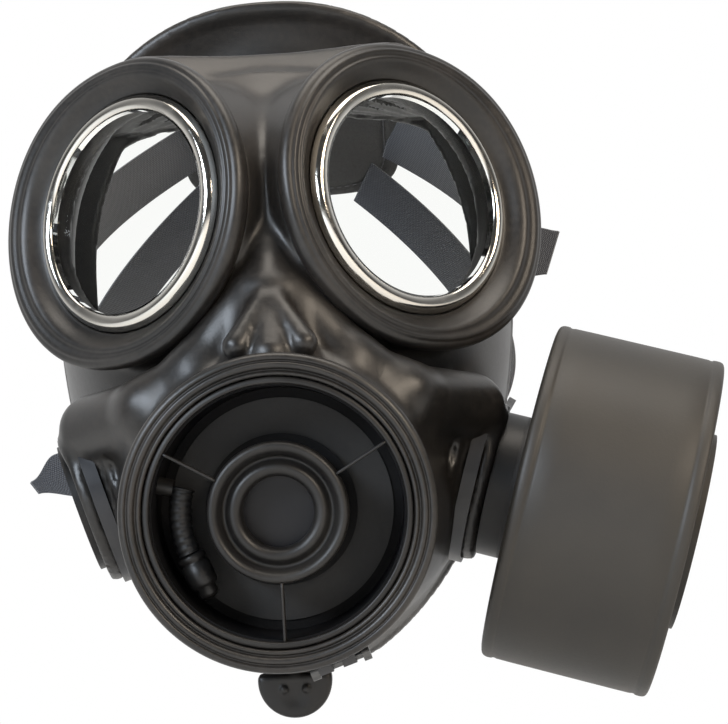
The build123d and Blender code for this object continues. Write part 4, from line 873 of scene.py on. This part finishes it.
THREAD = Finish("sewing_thread", Base_Color=(0.05, 0.05, 0.055), Roughness=0.7)
STITCHES, STITCH_LENGTH, STITCH_RADIUS = 84, 2.2, 0.28
stitch_turn = np.linspace(0, 2 * np.pi, STITCHES, endpoint=False)
for face in (-1, 1):
    corner = (np.abs(np.cos(stitch_turn)) ** 4 + np.abs(np.sin(stitch_turn)) ** 4) ** 0.25
    right = 0.86 * PAD_WIDTH / 2 * np.cos(stitch_turn) / corner
    up = 0.86 * PAD_HEIGHT / 2 * np.sin(stitch_turn) / corner
    middle = np.stack([right, up], -1)
    way = np.roll(middle, -1, axis=0) - np.roll(middle, 1, axis=0)
    way /= np.linalg.norm(way, axis=1, keepdims=True)
    run = np.linspace(-1, 1, 7)[None, :, None]
    turn = np.linspace(0, 2 * np.pi, 8, endpoint=False)[None, None, :]
    swell = STITCH_RADIUS * np.sqrt(np.maximum(1 - run**4, 0.0))
    side = swell * np.cos(turn)
    height = PAD_THICK / 2 + face * (PAD_THICK / 2 * 0.66 + swell * np.sin(turn))
    normal = np.stack([-way[:, 1], way[:, 0]], -1)
    flat = middle[:, None, None] + run[..., None] * STITCH_LENGTH / 2 * way[:, None, None]
    flat = flat + side[..., None] * normal[:, None, None]
    points = PAD_FRAME.at(flat[..., 0], flat[..., 1], height + 0 * flat[..., 0])
    faces = grid_faces(7, 8, False, True)
    faces = faces[None] + (np.arange(STITCHES) * 56)[:, None, None]
    name = f"pad_stitches_{'outer' if face > 0 else 'inner'}"
    make_piece(name, points.reshape(-1, 3), faces.reshape(-1, 4), THREAD, "webbing")

# ---------------------------------------------------------------- nose cup
# A small soft cup inside the mask, over nose and mouth, with a check valve in each side.

dress(SOFT_RUBBER, "nose_cup")

# ---------------------------------------------------------------- light and floor
# A plain pale floor below the part, a pale room, a large soft light above and one at each side.

ROOM_BEFORE, ROOM_BEHIND = 0.06, 1.0
world = bpy.data.worlds.new("room")
world.use_nodes = True
world.node_tree.nodes["Background"].inputs["Color"].default_value = (1.0, 1.0, 1.0, 1.0)
room = world.node_tree
direction = room.nodes.new("ShaderNodeTexCoord").outputs["Generated"]
depth = room.nodes.new("ShaderNodeSeparateXYZ")
strength = room.nodes.new("ShaderNodeMapRange")
strength.interpolation_type = "SMOOTHSTEP"
for number, value in enumerate((-0.5, 0.55, ROOM_BEFORE, ROOM_BEHIND), start=1):
    strength.inputs[number].default_value = value
room.links.new(direction, depth.inputs[0])
room.links.new(depth.outputs[1], strength.inputs[0])
room.links.new(strength.outputs[0], room.nodes["Background"].inputs["Strength"])
bpy.context.scene.world = world
bpy.context.scene.view_settings.view_transform = "Standard"


def soft_light(name, place, aim, size, power, tint):
    lamp = bpy.data.lights.new(name, "AREA")
    lamp.shape = "RECTANGLE"
    lamp.size, lamp.size_y = size
    lamp.energy = power
    lamp.color = tint
    light = bpy.data.objects.new(name, lamp)
    away = unit(np.array(place) - np.array(aim))
    side = unit(np.cross([0.02, 0.99, 0.1], away))
    placement = np.eye(4)
    placement[:3] = np.stack([side, np.cross(away, side), away, place], -1)
    light.matrix_world = Matrix(placement.tolist())
    bpy.context.scene.collection.objects.link(light)


soft_light("top_light", (0.1, -0.35, 0.95), (0.0, -0.05, 0.05), (0.9, 0.5), 9, (1.0, 0.93, 0.84))
soft_light("left_light", (-0.72, -0.98, 0.35), (0, 0, 0), (0.28, 0.8), 18, (0.80, 0.89, 1.0))
soft_light("right_light", (0.78, -0.95, 0.45), (0, 0, 0), (0.24, 0.7), 11, (1.0, 0.86, 0.70))

FLOOR_HEIGHT, FLOOR_REACH = -190.0, 2500.0
floor_points = np.array([(-1, -1, 0), (1, -1, 0), (1, 1, 0), (-1, 1, 0)]) * FLOOR_REACH
floor_points[:, 2] = FLOOR_HEIGHT
PALE_FLOOR = Finish("pale_floor", Base_Color=(0.86, 0.86, 0.85), Roughness=0.8)
floor_mesh = bpy.data.meshes.new("floor")
floor_mesh.from_pydata((floor_points * MILLIMETRE).tolist(), [], [(0, 1, 2, 3)])
floor_mesh.materials.append(PALE_FLOOR.material)
floor = bpy.data.objects.new("floor", floor_mesh)
bpy.context.scene.collection.objects.link(floor)
